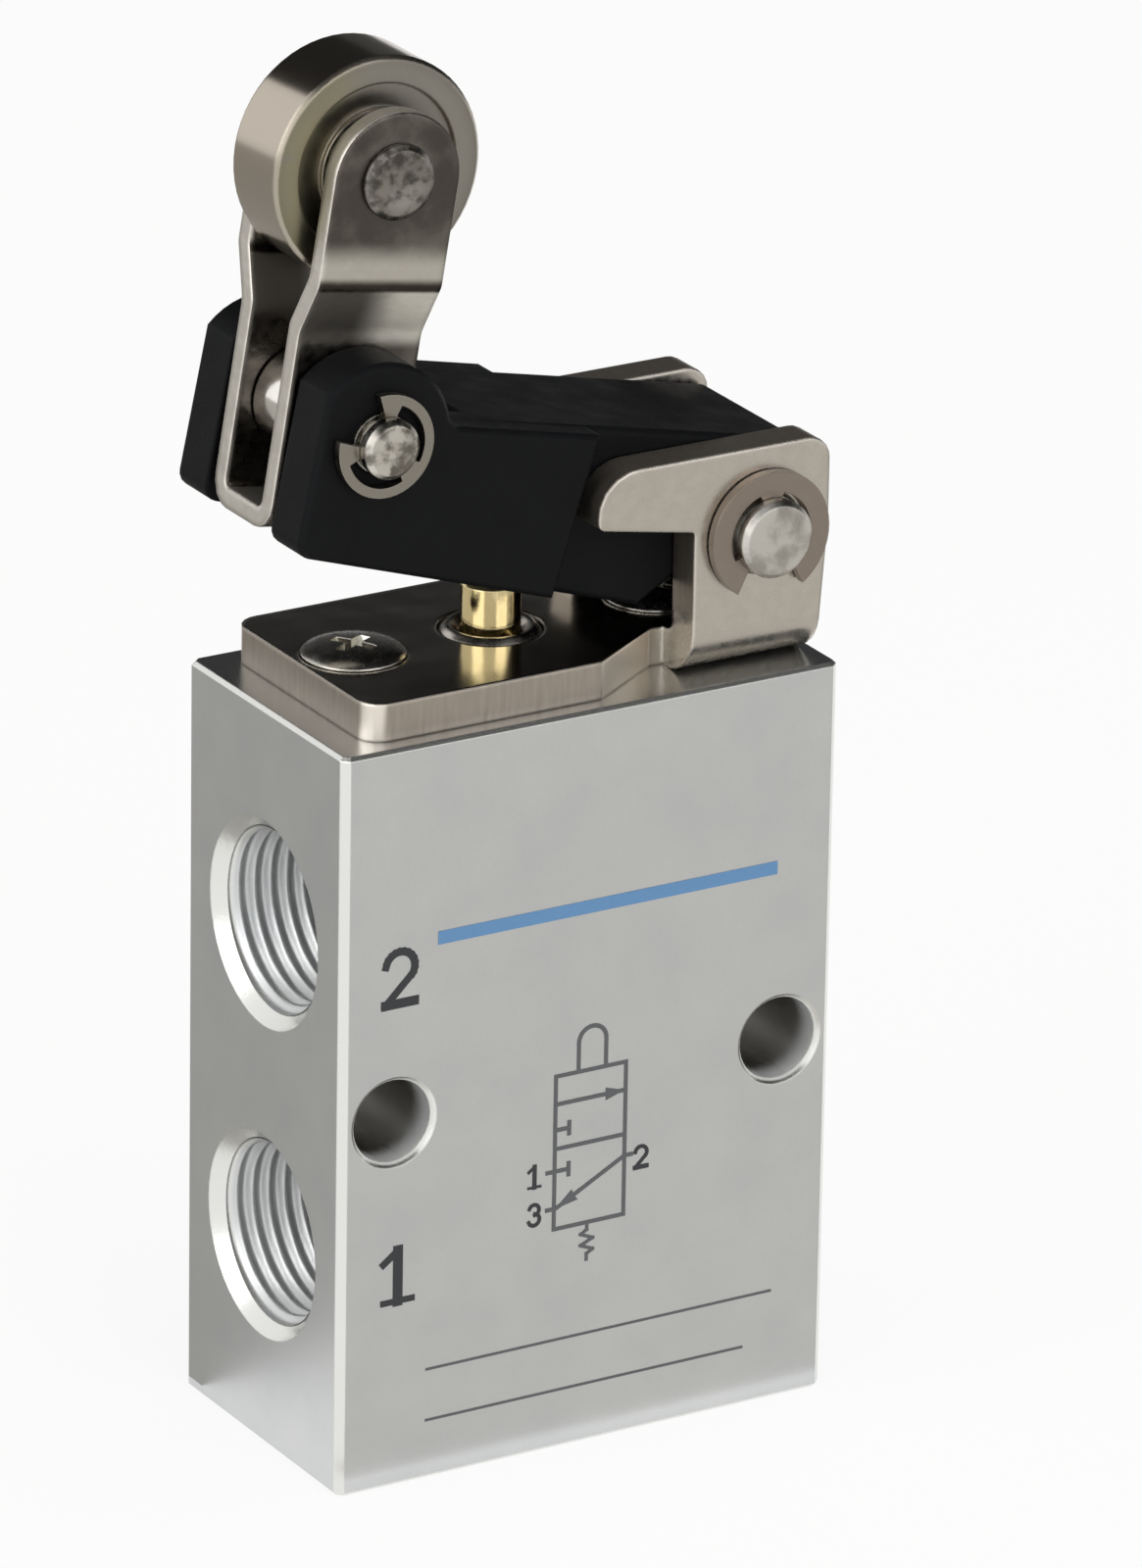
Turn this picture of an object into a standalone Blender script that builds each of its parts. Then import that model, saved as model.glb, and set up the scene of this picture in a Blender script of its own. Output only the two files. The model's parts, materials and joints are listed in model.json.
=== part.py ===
"""One-way roller-lever valve, three ports, two positions, closed at rest.

Metres, +Z up. The origin is the middle of the valve block's bottom face. +X runs from the
port face to the plain end, and the front of the block faces -Y.
"""

import math

import bmesh
import bpy
from mathutils import Vector

MM = 0.001

# Valve block
BODY_W = 28.0 * MM
BODY_T = 15.5 * MM
BODY_H = 39.0 * MM
BODY_CHAMFER = 0.4 * MM
RIM_BREAK = 0.2 * MM
PORT_SPACING = 16.6 * MM
PORT_BORE_R = 4.75 * MM
PORT_MOUTH_R = 5.4 * MM
PORT_DEPTH = 7.4 * MM
PORT_DRILLING_R = 1.9 * MM
MOUNT_HOLE_R = 2.15 * MM
MOUNT_HOLE_EDGE = 3.0 * MM

# Spool bore and what slides in it
SPOOL_X = -1.4 * MM
SPOOL_BORE_R = 3.5 * MM
CHAMBER_R = 4.2 * MM
CHAMBER_HALF = 2.6 * MM
STROKE = 2.0 * MM
LAND_CLEARANCE = 0.15 * MM
RING_SECTION = 0.96 * MM
GROOVE_LIP = 0.5 * MM
NECK_R = 2.6 * MM
PLUNGER_R = 1.5 * MM
PLUNGER_TAIL_R = 1.1 * MM
TAIL_LENGTH = 3.8 * MM
BORE_FLOOR = 3.5 * MM
COLLAR_R = 2.55 * MM
FLANGE_STEP = 2.15 * MM
FLANGE_T = 1.5 * MM

# Stamped bracket
SHEET = 2.0 * MM
PLATE_INSET = 1.9 * MM
PLATE_HALF_W = 6.75 * MM
BEND_INNER_R = 0.5 * MM
EAR_LEFT = 6.1 * MM
EAR_RIGHT = 13.7 * MM
EAR_FOOT_IN = 0.35 * MM
EAR_TOP = 11.6 * MM
HORN_TIP = 0.65 * MM
HORN_DEPTH = 3.0 * MM
SCREW_BEHIND = 9.4 * MM
SCREW_R = 1.45 * MM
SCREW_HEAD_R = 2.6 * MM
SCREW_LENGTH = 6.8 * MM

# Lever, drawn level and tilted to its rest
PIVOT_X = 10.1 * MM
PIVOT_RISE = 7.1 * MM
LEVER_TILT = math.radians(18.0)
LEVER_PIN_R = 2.0 * MM
ARM_PIN_X = -22.75 * MM
ARM_PIN_Z = 1.07 * MM
ARM_PIN_R = 1.5 * MM
LEVER_UNDERSIDE = -5.15 * MM
LEVER_HALF_W = 6.1 * MM
TAIL_HALF_W = 4.6 * MM
SHOULDER_X = -10.45 * MM
FORK_HALF_GAP = 3.25 * MM
BOSS_R = 3.95 * MM
MOULD_EDGE = 0.25 * MM
HUB_R = 3.4 * MM

# Folding roller arm
ARM_LEAN = math.radians(-8.7)
ARM_FOLD = math.radians(45.0)
ARM_LENGTH = 12.36 * MM
STRAP = 1.0 * MM
STRAP_HALF_W = 3.4 * MM
STRAP_HALF_GAP = 1.8 * MM
STRAP_HALF_TOP = 2.95 * MM
STRAP_DROP = 5.6 * MM
STRAP_CORNER_R = 1.4 * MM
AXLE_R = 1.5 * MM
ROLLER_R = 5.65 * MM
ROLLER_HALF_W = 2.1 * MM
JOGGLE_START = 4.5 * MM
JOGGLE_END = 7.1 * MM
WEB_U = 3.5 * MM
RIVET_LIP = 0.4 * MM

# Clips and springs
LEVER_CLIP_R = 3.3 * MM
LEVER_CLIP_BAND = 1.05 * MM
ARM_CLIP_R = 2.6 * MM
ARM_CLIP_BAND = 0.5 * MM
CLIP_T = 0.5 * MM
TORSION_WIRE_R = 0.25 * MM
TORSION_COIL_GAP = 0.3 * MM
TORSION_STUB = 1.0 * MM
RETURN_WIRE_R = 0.2 * MM

# Clearances
RUNNING = 0.05 * MM
SEAT = 0.05 * MM
SIDE = 0.1 * MM

MATERIALS = {
    "anodised_aluminium": ((0.66, 0.67, 0.67), 0.85, 0.42),
    "nickel_plated_steel": ((0.70, 0.67, 0.62), 1.0, 0.16),
    "black_moulding": ((0.022, 0.023, 0.026), 0.0, 0.55),
    "brass": ((0.78, 0.60, 0.24), 1.0, 0.2),
    "bright_steel": ((0.66, 0.65, 0.63), 1.0, 0.12),
    "zinc_steel": ((0.68, 0.68, 0.66), 1.0, 0.22),
    "spring_steel": ((0.45, 0.45, 0.46), 1.0, 0.3),
    "phosphor_bronze": ((0.55, 0.42, 0.28), 1.0, 0.3),
    "nitrile_rubber": ((0.02, 0.02, 0.02), 0.0, 0.6),
}


def clear_scene():
    for obj in list(bpy.data.objects):
        bpy.data.objects.remove(obj, do_unlink=True)


def material(name):
    if name in bpy.data.materials:
        return bpy.data.materials[name]
    colour, metallic, roughness = MATERIALS[name]
    made = bpy.data.materials.new(name)
    made.use_nodes = True
    shader = made.node_tree.nodes["Principled BSDF"]
    shader.inputs["Base Color"].default_value = (*colour, 1.0)
    shader.inputs["Metallic"].default_value = metallic
    shader.inputs["Roughness"].default_value = roughness
    return made


def empty(name, location, parent=None, rotation=(0.0, 0.0, 0.0)):
    made = bpy.data.objects.new(name, None)
    made.empty_display_size = 2 * MM
    made.location = location
    made.rotation_euler = rotation
    made.parent = parent
    bpy.context.collection.objects.link(made)
    return made


def place(name, mesh, parent, location, rotation, slot):
    made = bpy.data.objects.new(name, mesh)
    made.location = location
    made.rotation_euler = rotation
    made.parent = parent
    bpy.context.collection.objects.link(made)
    if slot:
        mesh.materials.append(material(slot))
    else:
        made.hide_render = True
        made.display_type = "WIRE"
    return made


def soften(obj, degrees=35.0):
    mesh = obj.data
    for polygon in mesh.polygons:
        polygon.use_smooth = True
    mesh.set_sharp_from_angle(angle=math.radians(degrees))
    return obj


def prism(name, outline, axis, low, high, parent, slot=None, location=(0, 0, 0), rotation=(0, 0, 0)):
    """A closed outline pushed straight along x, y or z."""
    spots = {"x": lambda a, b, d: (d, a, b), "y": lambda a, b, d: (a, d, b), "z": lambda a, b, d: (a, b, d)}
    sheet = bmesh.new()
    face = sheet.faces.new([sheet.verts.new(spots[axis](a, b, low)) for a, b in outline])
    pushed = bmesh.ops.extrude_face_region(sheet, geom=[face])
    moved = [item for item in pushed["geom"] if isinstance(item, bmesh.types.BMVert)]
    bmesh.ops.translate(sheet, verts=moved, vec=Vector(spots[axis](0, 0, high - low)))
    bmesh.ops.recalc_face_normals(sheet, faces=sheet.faces)
    mesh = bpy.data.meshes.new(name)
    sheet.to_mesh(mesh)
    sheet.free()
    return soften(place(name, mesh, parent, location, rotation, slot))


def rimmed(name, outline, low, high, rim, parent, slot=None):
    """A prism along y whose two end faces stand in from the outline by the rim's width."""
    count = len(outline)
    area = sum(outline[i - 1][0] * outline[i][1] - outline[i][0] * outline[i - 1][1] for i in range(count))
    inward = 1 if area > 0 else -1
    inset = []
    for i, (a, b) in enumerate(outline):
        before = (Vector((a, b)) - Vector(outline[i - 1])).normalized()
        after = (Vector(outline[(i + 1) % count]) - Vector((a, b))).normalized()
        side = Vector((-before.y - after.y, before.x + after.x)).normalized()
        width = rim / max(math.cos(before.angle(after) / 2), 0.5)
        inset.append((a + inward * side.x * width, b + inward * side.y * width))
    shell = bmesh.new()
    levels = ((inset, low), (outline, low + rim), (outline, high - rim), (inset, high))
    rings = [[shell.verts.new((a, y, b)) for a, b in ring] for ring, y in levels]
    shell.faces.new(rings[0])
    shell.faces.new(rings[-1])
    for first, second in zip(rings, rings[1:]):
        for i in range(count):
            j = (i + 1) % count
            shell.faces.new((first[i], first[j], second[j], second[i]))
    bmesh.ops.recalc_face_normals(shell, faces=shell.faces)
    mesh = bpy.data.meshes.new(name)
    shell.to_mesh(mesh)
    shell.free()
    return soften(place(name, mesh, parent, (0, 0, 0), (0, 0, 0), slot), 50.0)


def lathe(name, profile, parent, slot=None, location=(0, 0, 0), rotation=(0, 0, 0), steps=48, closed=False):
    """A profile of (radius, height) points turned about local z. A closed one makes a ring."""
    turned = bmesh.new()
    count = len(profile)
    rings = []
    for radius, height in profile:
        if radius < 1e-9:
            rings.append([turned.verts.new((0, 0, height))] * steps)
            continue
        angles = [2 * math.pi * i / steps for i in range(steps)]
        rings.append([turned.verts.new((radius * math.cos(a), radius * math.sin(a), height)) for a in angles])
    for k in range(count if closed else count - 1):
        low, high = rings[k], rings[(k + 1) % count]
        for i in range(steps):
            j = (i + 1) % steps
            corners = []
            for vert in (low[i], low[j], high[j], high[i]):
                if vert not in corners:
                    corners.append(vert)
            if len(corners) > 2:
                turned.faces.new(corners)
    bmesh.ops.recalc_face_normals(turned, faces=turned.faces)
    mesh = bpy.data.meshes.new(name)
    turned.to_mesh(mesh)
    turned.free()
    return soften(place(name, mesh, parent, location, rotation, slot))


def wire(name, points, radius, parent, slot, sides=2):
    curve = bpy.data.curves.new(name, "CURVE")
    curve.dimensions = "3D"
    curve.bevel_depth = radius
    curve.bevel_resolution = sides
    curve.use_fill_caps = True
    spline = curve.splines.new("POLY")
    spline.points.add(len(points) - 1)
    for spot, point in zip(spline.points, points):
        spot.co = (*point, 1.0)
    spline.use_smooth = True
    made = bpy.data.objects.new(name, curve)
    made.parent = parent
    curve.materials.append(material(slot))
    bpy.context.collection.objects.link(made)
    return made


def boolean(target, tool, operation="DIFFERENCE"):
    step = target.modifiers.new(tool.name, "BOOLEAN")
    step.operation = operation
    step.solver = "EXACT"
    step.object = tool


def arc(cx, cy, radius, start, end, steps=8):
    """Points on an arc from start to end, in degrees."""
    turns = [math.radians(start + (end - start) * i / steps) for i in range(steps + 1)]
    return [(cx + radius * math.cos(a), cy + radius * math.sin(a)) for a in turns]


def rounded(corners, steps=5):
    """An outline through (a, b, radius) corners, each corner filleted to its radius."""
    outline = []
    count = len(corners)
    for i, (a, b, radius) in enumerate(corners):
        here = Vector((a, b))
        if radius <= 0:
            outline.append((a, b))
            continue
        back = (Vector(corners[i - 1][:2]) - here).normalized()
        ahead = (Vector(corners[(i + 1) % count][:2]) - here).normalized()
        half = back.angle(ahead) / 2
        centre = here + (back + ahead).normalized() * radius / math.sin(half)
        first = here + back * radius / math.tan(half) - centre
        last = here + ahead * radius / math.tan(half) - centre
        for k in range(steps + 1):
            mixed = first.lerp(last, k / steps).normalized() * radius
            outline.append(tuple(centre + mixed))
    return outline


NEAR = (math.pi / 2, 0, 0)
TO_PORTS = (0, -math.pi / 2, 0)

PORT_HEIGHTS = (BODY_H / 2 - PORT_SPACING / 2, BODY_H / 2 + PORT_SPACING / 2)
PLATE_LEFT = PLATE_INSET - BODY_W / 2
PLATE_TOP = BODY_H + SHEET
FLANGE_LEFT = SPOOL_X - COLLAR_R - FLANGE_STEP
SCREW_PLACES = {"left": (PLATE_LEFT + FLANGE_LEFT) / 2, "right": SPOOL_X + SCREW_BEHIND}
PIVOT_Z = BODY_H + PIVOT_RISE
GROOVE = RING_SECTION + 0.24 * MM
LAND = GROOVE + 2 * GROOVE_LIP
RING_RADIUS = SPOOL_BORE_R - 0.07 * MM - RING_SECTION / 2

# Each seal stands just past the edge of its chamber, so that the stroke opens or closes it
LOW_SEAL = PORT_HEIGHTS[0] - CHAMBER_HALF - RING_SECTION / 2 - 0.5 * MM
SUPPLY_SEAL = PORT_HEIGHTS[0] + CHAMBER_HALF + RING_SECTION / 2 + 0.3 * MM
EXHAUST_EDGE = PORT_HEIGHTS[1] + CHAMBER_HALF + STROKE + 0.2 * MM
EXHAUST_SEAL = EXHAUST_EDGE + 0.55 * STROKE
SPOOL_FOOT = LOW_SEAL - LAND / 2
SPOOL_HEAD = EXHAUST_SEAL + LAND / 2
SPRING_SEAT = SUPPLY_SEAL - LAND / 2
BUSH_FOOT = SPOOL_HEAD + 0.1 * MM


def make_block(root):
    half_w, half_t = BODY_W / 2, BODY_T / 2
    side, end = half_w - BODY_CHAMFER, half_t - BODY_CHAMFER
    outline = [
        (-side, -half_t), (side, -half_t), (half_w, -end), (half_w, end),
        (side, half_t), (-side, half_t), (-half_w, end), (-half_w, -end),
    ]
    block = prism("valve_body", outline, "z", 0, BODY_H, root, "anodised_aluminium")
    edges = block.modifiers.new("broken rims", "BEVEL")
    edges.width = RIM_BREAK
    edges.segments = 1
    edges.limit_method = "ANGLE"
    edges.angle_limit = math.radians(60)
    low, high = PORT_HEIGHTS
    slope = 0.3 * MM
    flange = COLLAR_R + FLANGE_STEP + SIDE
    bore = [
        (0, BORE_FLOOR), (SPOOL_BORE_R, BORE_FLOOR),
        (SPOOL_BORE_R, low - CHAMBER_HALF), (CHAMBER_R, low - CHAMBER_HALF + slope),
        (CHAMBER_R, low + CHAMBER_HALF - slope), (SPOOL_BORE_R, low + CHAMBER_HALF),
        (SPOOL_BORE_R, high - CHAMBER_HALF), (CHAMBER_R, high - CHAMBER_HALF + slope),
        (CHAMBER_R, high + CHAMBER_HALF - slope), (SPOOL_BORE_R, high + CHAMBER_HALF),
        (SPOOL_BORE_R, EXHAUST_EDGE), (CHAMBER_R, EXHAUST_EDGE + slope),
        (CHAMBER_R, BODY_H - FLANGE_T), (flange, BODY_H - FLANGE_T), (flange, BODY_H + 1 * MM),
        (0, BODY_H + 1 * MM),
    ]
    boolean(block, lathe("cut spool bore", bore, root, location=(SPOOL_X, 0, 0), steps=32))
    reach = half_w + SPOOL_X
    mouth = [
        (0, 1 * MM), (PORT_MOUTH_R, 1 * MM), (PORT_MOUTH_R, 0), (PORT_BORE_R, PORT_BORE_R - PORT_MOUTH_R),
        (PORT_BORE_R, -PORT_DEPTH), (PORT_DRILLING_R, -PORT_DEPTH - 1.2 * MM), (PORT_DRILLING_R, -reach),
        (0, -reach),
    ]
    for name, height in (("supply", low), ("outlet", high)):
        boolean(block, lathe(f"cut {name} port", mouth, root, location=(-half_w, 0, height), rotation=TO_PORTS))
    flare = MOUNT_HOLE_R + 0.25 * MM
    through = [
        (0, -half_t - 1 * MM), (flare, -half_t - 1 * MM), (flare, -half_t), (MOUNT_HOLE_R, -half_t + 0.25 * MM),
        (MOUNT_HOLE_R, half_t - 0.25 * MM), (flare, half_t), (flare, half_t + 1 * MM), (0, half_t + 1 * MM),
    ]
    for side in (-1, 1):
        spot = (side * (half_w - MOUNT_HOLE_EDGE), 0, BODY_H / 2)
        boolean(block, lathe(f"cut mounting hole {side}", through, root, location=spot, rotation=NEAR, steps=40))
    tapped = [
        (0, SHEET - SCREW_LENGTH - 0.7 * MM), (SCREW_R + SIDE, SHEET - SCREW_LENGTH - 0.3 * MM),
        (SCREW_R + SIDE, 1 * MM), (0, 1 * MM),
    ]
    for side, x in SCREW_PLACES.items():
        boolean(block, lathe(f"cut screw hole {side}", tapped, root, location=(x, 0, BODY_H), steps=24))
    return block


def make_bush(root):
    """Guide bush: foot over the spool, flange under the plate, collar in the plate's hole."""
    top = PLATE_TOP + 0.2 * MM
    guide = PLUNGER_R + RUNNING
    foot = SPOOL_BORE_R - 0.3 * MM
    flange = COLLAR_R + FLANGE_STEP
    seat = BODY_H - FLANGE_T + SEAT
    sleeve = [
        (guide, BUSH_FOOT), (foot, BUSH_FOOT), (foot, seat), (flange, seat), (flange, BODY_H - SEAT),
        (COLLAR_R, BODY_H - SEAT), (COLLAR_R, top - 0.35 * MM), (COLLAR_R - 0.35 * MM, top),
        (guide + 0.45 * MM, top), (guide, top - 0.45 * MM),
    ]
    bush = lathe("guide_bush", sleeve, root, "nickel_plated_steel", location=(SPOOL_X, 0, 0), steps=40, closed=True)
    for index in range(3):
        turn = math.radians(34 + 120 * index)
        reach = guide - 0.07 * MM
        spot = (SPOOL_X + reach * math.cos(turn), reach * math.sin(turn), 0)
        groove = [(0, BUSH_FOOT - MM), (0.5 * MM, BUSH_FOOT - MM), (0.5 * MM, top + MM), (0, top + MM)]
        boolean(bush, lathe(f"cut exhaust groove {index}", groove, root, location=spot, steps=9))
    half = 0.6 * MM
    slot = [(-half, BUSH_FOOT - MM), (half, BUSH_FOOT - MM), (half, BUSH_FOOT + MM), (-half, BUSH_FOOT + MM)]
    for index in range(2):
        turn = (0, 0, math.radians(90 * index))
        tool = prism(f"cut foot slot {index}", slot, "y", -4 * MM, 4 * MM, root, None, (SPOOL_X, 0, 0), turn)
        boolean(bush, tool)
    return bush


def seal_ring(name, height, parent):
    section = arc(RING_RADIUS, height, RING_SECTION / 2, 0, 300, 5)
    return lathe(name, section, parent, "nitrile_rubber", steps=20, closed=True)


def make_spool(slider):
    """Three lands with a seal each. The slider's origin lies on the bore's axis at the block's foot."""
    land = SPOOL_BORE_R - LAND_CLEARANCE
    floor = RING_RADIUS - RING_SECTION / 2 - 0.05 * MM
    hollow = NECK_R - 0.7 * MM
    edge = 0.15 * MM
    profile = [(0, SPRING_SEAT), (hollow, SPRING_SEAT), (hollow, SPOOL_FOOT)]
    for seal in (LOW_SEAL, SUPPLY_SEAL, EXHAUST_SEAL):
        if seal > LOW_SEAL:
            profile.append((NECK_R, seal - LAND / 2))
        profile += [(land - edge, seal - LAND / 2), (land, seal - LAND / 2 + edge)]
        profile += [(land, seal - GROOVE / 2), (floor, seal - GROOVE / 2)]
        profile += [(floor, seal + GROOVE / 2), (land, seal + GROOVE / 2)]
        profile += [(land, seal + LAND / 2 - edge), (land - edge, seal + LAND / 2)]
        if seal < EXHAUST_SEAL:
            profile.append((NECK_R, seal + LAND / 2))
    socket = SPOOL_HEAD - TAIL_LENGTH - 0.2 * MM
    tail = PLUNGER_TAIL_R + SEAT
    profile += [(tail, SPOOL_HEAD), (tail, socket), (0, socket)]
    spool = lathe("spool", profile, slider, "anodised_aluminium", steps=20)
    vent = [(0, SPRING_SEAT - MM), (0.5 * MM, SPRING_SEAT - MM), (0.5 * MM, socket + MM), (0, socket + MM)]
    boolean(spool, lathe("cut vent", vent, slider, steps=12))
    half, deep = 0.4 * MM, SPOOL_HEAD - 0.6 * MM
    slot = [(-half, deep), (half, deep), (half, SPOOL_HEAD + MM), (-half, SPOOL_HEAD + MM)]
    boolean(spool, prism("cut vent slot", slot, "x", 0, SPOOL_BORE_R + MM, slider))
    for name, seal in (("low", LOW_SEAL), ("supply", SUPPLY_SEAL), ("exhaust", EXHAUST_SEAL)):
        seal_ring(f"spool_o_ring_{name}", seal, slider)


def plunger_reach():
    """Height of the domed tip's centre under the tilted lever, and the dome's radius."""
    dome = PLUNGER_R + 0.2 * MM
    away = PIVOT_X - SPOOL_X
    slope = math.tan(LEVER_TILT)
    under = PIVOT_Z + LEVER_UNDERSIDE / math.cos(LEVER_TILT) + away * slope
    return under - (dome + 0.06 * MM) / math.cos(LEVER_TILT), dome


def make_plunger(slider):
    centre, dome = plunger_reach()
    start = math.degrees(math.acos(PLUNGER_R / dome))
    tip = [(r, centre + h) for r, h in arc(0, 0, dome, start, 90, 6)][:-1]
    profile = [
        (0, SPOOL_HEAD - TAIL_LENGTH), (PLUNGER_TAIL_R - 0.2 * MM, SPOOL_HEAD - TAIL_LENGTH),
        (PLUNGER_TAIL_R, SPOOL_HEAD - TAIL_LENGTH + 0.2 * MM), (PLUNGER_TAIL_R, SPOOL_HEAD + SEAT),
        (PLUNGER_R, SPOOL_HEAD + SEAT), *tip, (0, centre + dome),
    ]
    plunger = lathe("plunger", profile, slider, "brass", steps=32)
    flat = PLUNGER_TAIL_R - 0.35 * MM
    side = [(flat, -2 * MM), (3 * MM, -2 * MM), (3 * MM, 2 * MM), (flat, 2 * MM)]
    low = SPOOL_HEAD - TAIL_LENGTH - MM
    boolean(plunger, prism("cut tail flat", side, "z", low, SPOOL_HEAD + SEAT, slider))


def helix(radius, low, high, turns, wire_r, steps=10):
    """Wire centre line of a compression spring with closed end coils."""
    points = []
    total = int(turns * steps)
    lead = (2 * wire_r + 0.06 * MM)
    free = high - low - 2 * wire_r
    for i in range(total + 1):
        turn = i / steps
        inner = min(max((turn - 1) / (turns - 2), 0), 1)
        rise = lead * min(turn, 1) + lead * max(turn - (turns - 1), 0) + (free - 2 * lead) * inner
        angle = 2 * math.pi * turn
        points.append((radius * math.cos(angle), radius * math.sin(angle), low + wire_r + rise))
    return points


def make_return_spring(slider):
    wire_r = RETURN_WIRE_R
    radius = NECK_R - 0.7 * MM - 0.15 * MM - wire_r
    line = helix(radius, BORE_FLOOR + SEAT, SPRING_SEAT - SEAT, 8, wire_r)
    wire("return_spring", line, wire_r, slider, "spring_steel", 1)


def ear_outline():
    top = BODY_H + EAR_TOP
    horn_low = top - HORN_DEPTH
    rise = (EAR_LEFT - HORN_TIP) * math.tan(math.radians(10.5))
    foot = EAR_RIGHT - EAR_FOOT_IN
    return rounded([
        (EAR_LEFT, BODY_H - MM, 0), (foot, BODY_H - MM, 0), (foot, BODY_H + BEND_INNER_R + SHEET, 0),
        (EAR_RIGHT, BODY_H + PIVOT_RISE, 0), (EAR_RIGHT, top, 1.2 * MM),
        (HORN_TIP, top, 2.2 * MM), (HORN_TIP, horn_low + 0.2 * MM, 0.4 * MM),
        (EAR_LEFT, horn_low + 0.2 * MM - rise, 0.25 * MM),
    ])


def make_bracket(root):
    outer, inner = PLATE_HALF_W, PLATE_HALF_W - SHEET
    bend = BEND_INNER_R + SHEET
    top = BODY_H + EAR_TOP + MM
    channel = [(-outer, top), *arc(-outer + bend, BODY_H + bend, bend, 180, 270)]
    channel += [*arc(outer - bend, BODY_H + bend, bend, 270, 360), (outer, top), (inner, top)]
    channel += arc(inner - BEND_INNER_R, BODY_H + bend, BEND_INNER_R, 0, -90, 5)
    channel += arc(-inner + BEND_INNER_R, BODY_H + bend, BEND_INNER_R, 270, 180, 5)
    channel += [(-inner, top)]
    bracket = prism("bracket", channel, "x", HORN_TIP - MM, EAR_RIGHT + MM, root, "nickel_plated_steel")
    boolean(bracket, prism("keep ears", ear_outline(), "y", -outer - MM, outer + MM, root), "INTERSECT")
    notch = EAR_LEFT - 0.8 * MM
    waist = outer - bend - 0.3 * MM
    slant = notch - (outer - waist) * 1.55
    outline = rounded([
        (PLATE_LEFT, -outer, 1.3 * MM), (slant, -outer, 0.4 * MM), (notch, -waist, 0.3 * MM),
        (EAR_LEFT + MM, -waist, 0), (EAR_LEFT + MM, waist, 0), (notch, waist, 0.3 * MM),
        (slant, outer, 0.4 * MM), (PLATE_LEFT, outer, 1.3 * MM),
    ])
    boolean(bracket, prism("join plate", outline, "z", BODY_H, PLATE_TOP, root), "UNION")
    hole = COLLAR_R + SIDE
    clear = [(0, -MM), (hole, -MM), (hole, SHEET + MM), (0, SHEET + MM)]
    boolean(bracket, lathe("cut bush hole", clear, root, location=(SPOOL_X, 0, BODY_H)))
    shank, head = SCREW_R + SIDE, SCREW_HEAD_R + SIDE
    sink = [
        (0, -MM), (shank, -MM), (shank, SHEET - (head - shank)), (head, SHEET), (head, SHEET + MM),
        (0, SHEET + MM),
    ]
    for side, x in SCREW_PLACES.items():
        boolean(bracket, lathe(f"cut screw sink {side}", sink, root, location=(x, 0, BODY_H), steps=32))
    pin = LEVER_PIN_R + RUNNING
    bore = [(0, -BODY_T), (pin, -BODY_T), (pin, BODY_T), (0, BODY_T)]
    spot = (PIVOT_X, 0, PIVOT_Z)
    boolean(bracket, lathe("cut pin holes", bore, root, location=spot, rotation=NEAR, steps=32))
    return bracket


def make_screws(root):
    """Raised countersunk head with a cross recess, drawn with the plate's top at z 0."""
    cone = SCREW_HEAD_R - SCREW_R
    dome = [(SCREW_HEAD_R * math.cos(a), 0.1 * MM + 0.5 * MM * math.sin(a)) for a in (0.0, 0.4, 0.8, 1.2)]
    profile = [
        (0, -SCREW_LENGTH), (SCREW_R - 0.4 * MM, -SCREW_LENGTH), (SCREW_R, -SCREW_LENGTH + 0.4 * MM),
        (SCREW_R, -cone), (SCREW_HEAD_R, 0), *dome, (0, 0.6 * MM),
    ]
    blade = [(-1.4 * MM, 1.0 * MM), (-0.5 * MM, -0.8 * MM), (0.5 * MM, -0.8 * MM), (1.4 * MM, 1.0 * MM)]
    for side, x in SCREW_PLACES.items():
        name, spot = f"bracket_screw_{side}", (x, 0, PLATE_TOP)
        screw = lathe(name, profile, root, "zinc_steel", location=spot, steps=32)
        for index in range(2):
            turn = (0, 0, math.radians(30 + 90 * index))
            tool = prism(f"cut recess {name} {index}", blade, "y", -0.3 * MM, 0.3 * MM, root, None, spot, turn)
            boolean(screw, tool)


def headed_pin(name, radius, outer, head_r, head_t, clip_t, parent, location=(0, 0, 0)):
    """Head behind the far side, groove and clip in front of the near side."""
    groove = outer + SIDE
    profile = [
        (0, -outer - SIDE - head_t), (head_r - 0.2 * MM, -outer - SIDE - head_t),
        (head_r, -outer - SIDE - head_t + 0.2 * MM), (head_r, -outer - SIDE), (radius, -outer - SIDE),
        (radius, groove - 0.05 * MM), (radius * 0.78, groove - 0.05 * MM),
        (radius * 0.78, groove + clip_t + 0.05 * MM), (radius, groove + clip_t + 0.05 * MM),
        (radius, groove + clip_t + 0.5 * MM), (radius - 0.25 * MM, groove + clip_t + 0.75 * MM),
        (0, groove + clip_t + 0.75 * MM),
    ]
    return lathe(name, profile, parent, "bright_steel", location=location, rotation=NEAR, steps=28)


def retaining_clip(name, pin_r, outer_r, band, near, mouth, parent, location=(0, 0, 0)):
    """E-shaped clip with three lugs in the pin's groove. The mouth is its open side, in degrees."""
    rim = outer_r - band
    lug = pin_r * 0.78 + 0.04 * MM
    half = 42.0
    outline = arc(0, 0, outer_r, mouth + half - 8, mouth + 360 - half + 8, 40)
    inner = []
    for k in range(49):
        angle = mouth + 360 - half - (360 - 2 * half) * k / 48
        apart = min(abs((angle - mouth - centre + 180) % 360 - 180) for centre in (half + 6, 180, -half - 6))
        inner += arc(0, 0, lug if apart < 13 else rim, angle, angle, 1)[:1]
    outline += inner
    return prism(name, outline, "y", -near - CLIP_T, -near, parent, "nickel_plated_steel", location)


def to_lever(x, z):
    """A point of the rest position, given from the pivot, in the lever's own frame."""
    c, s = math.cos(LEVER_TILT), math.sin(LEVER_TILT)
    return (x * c - z * s, x * s + z * c)


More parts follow.
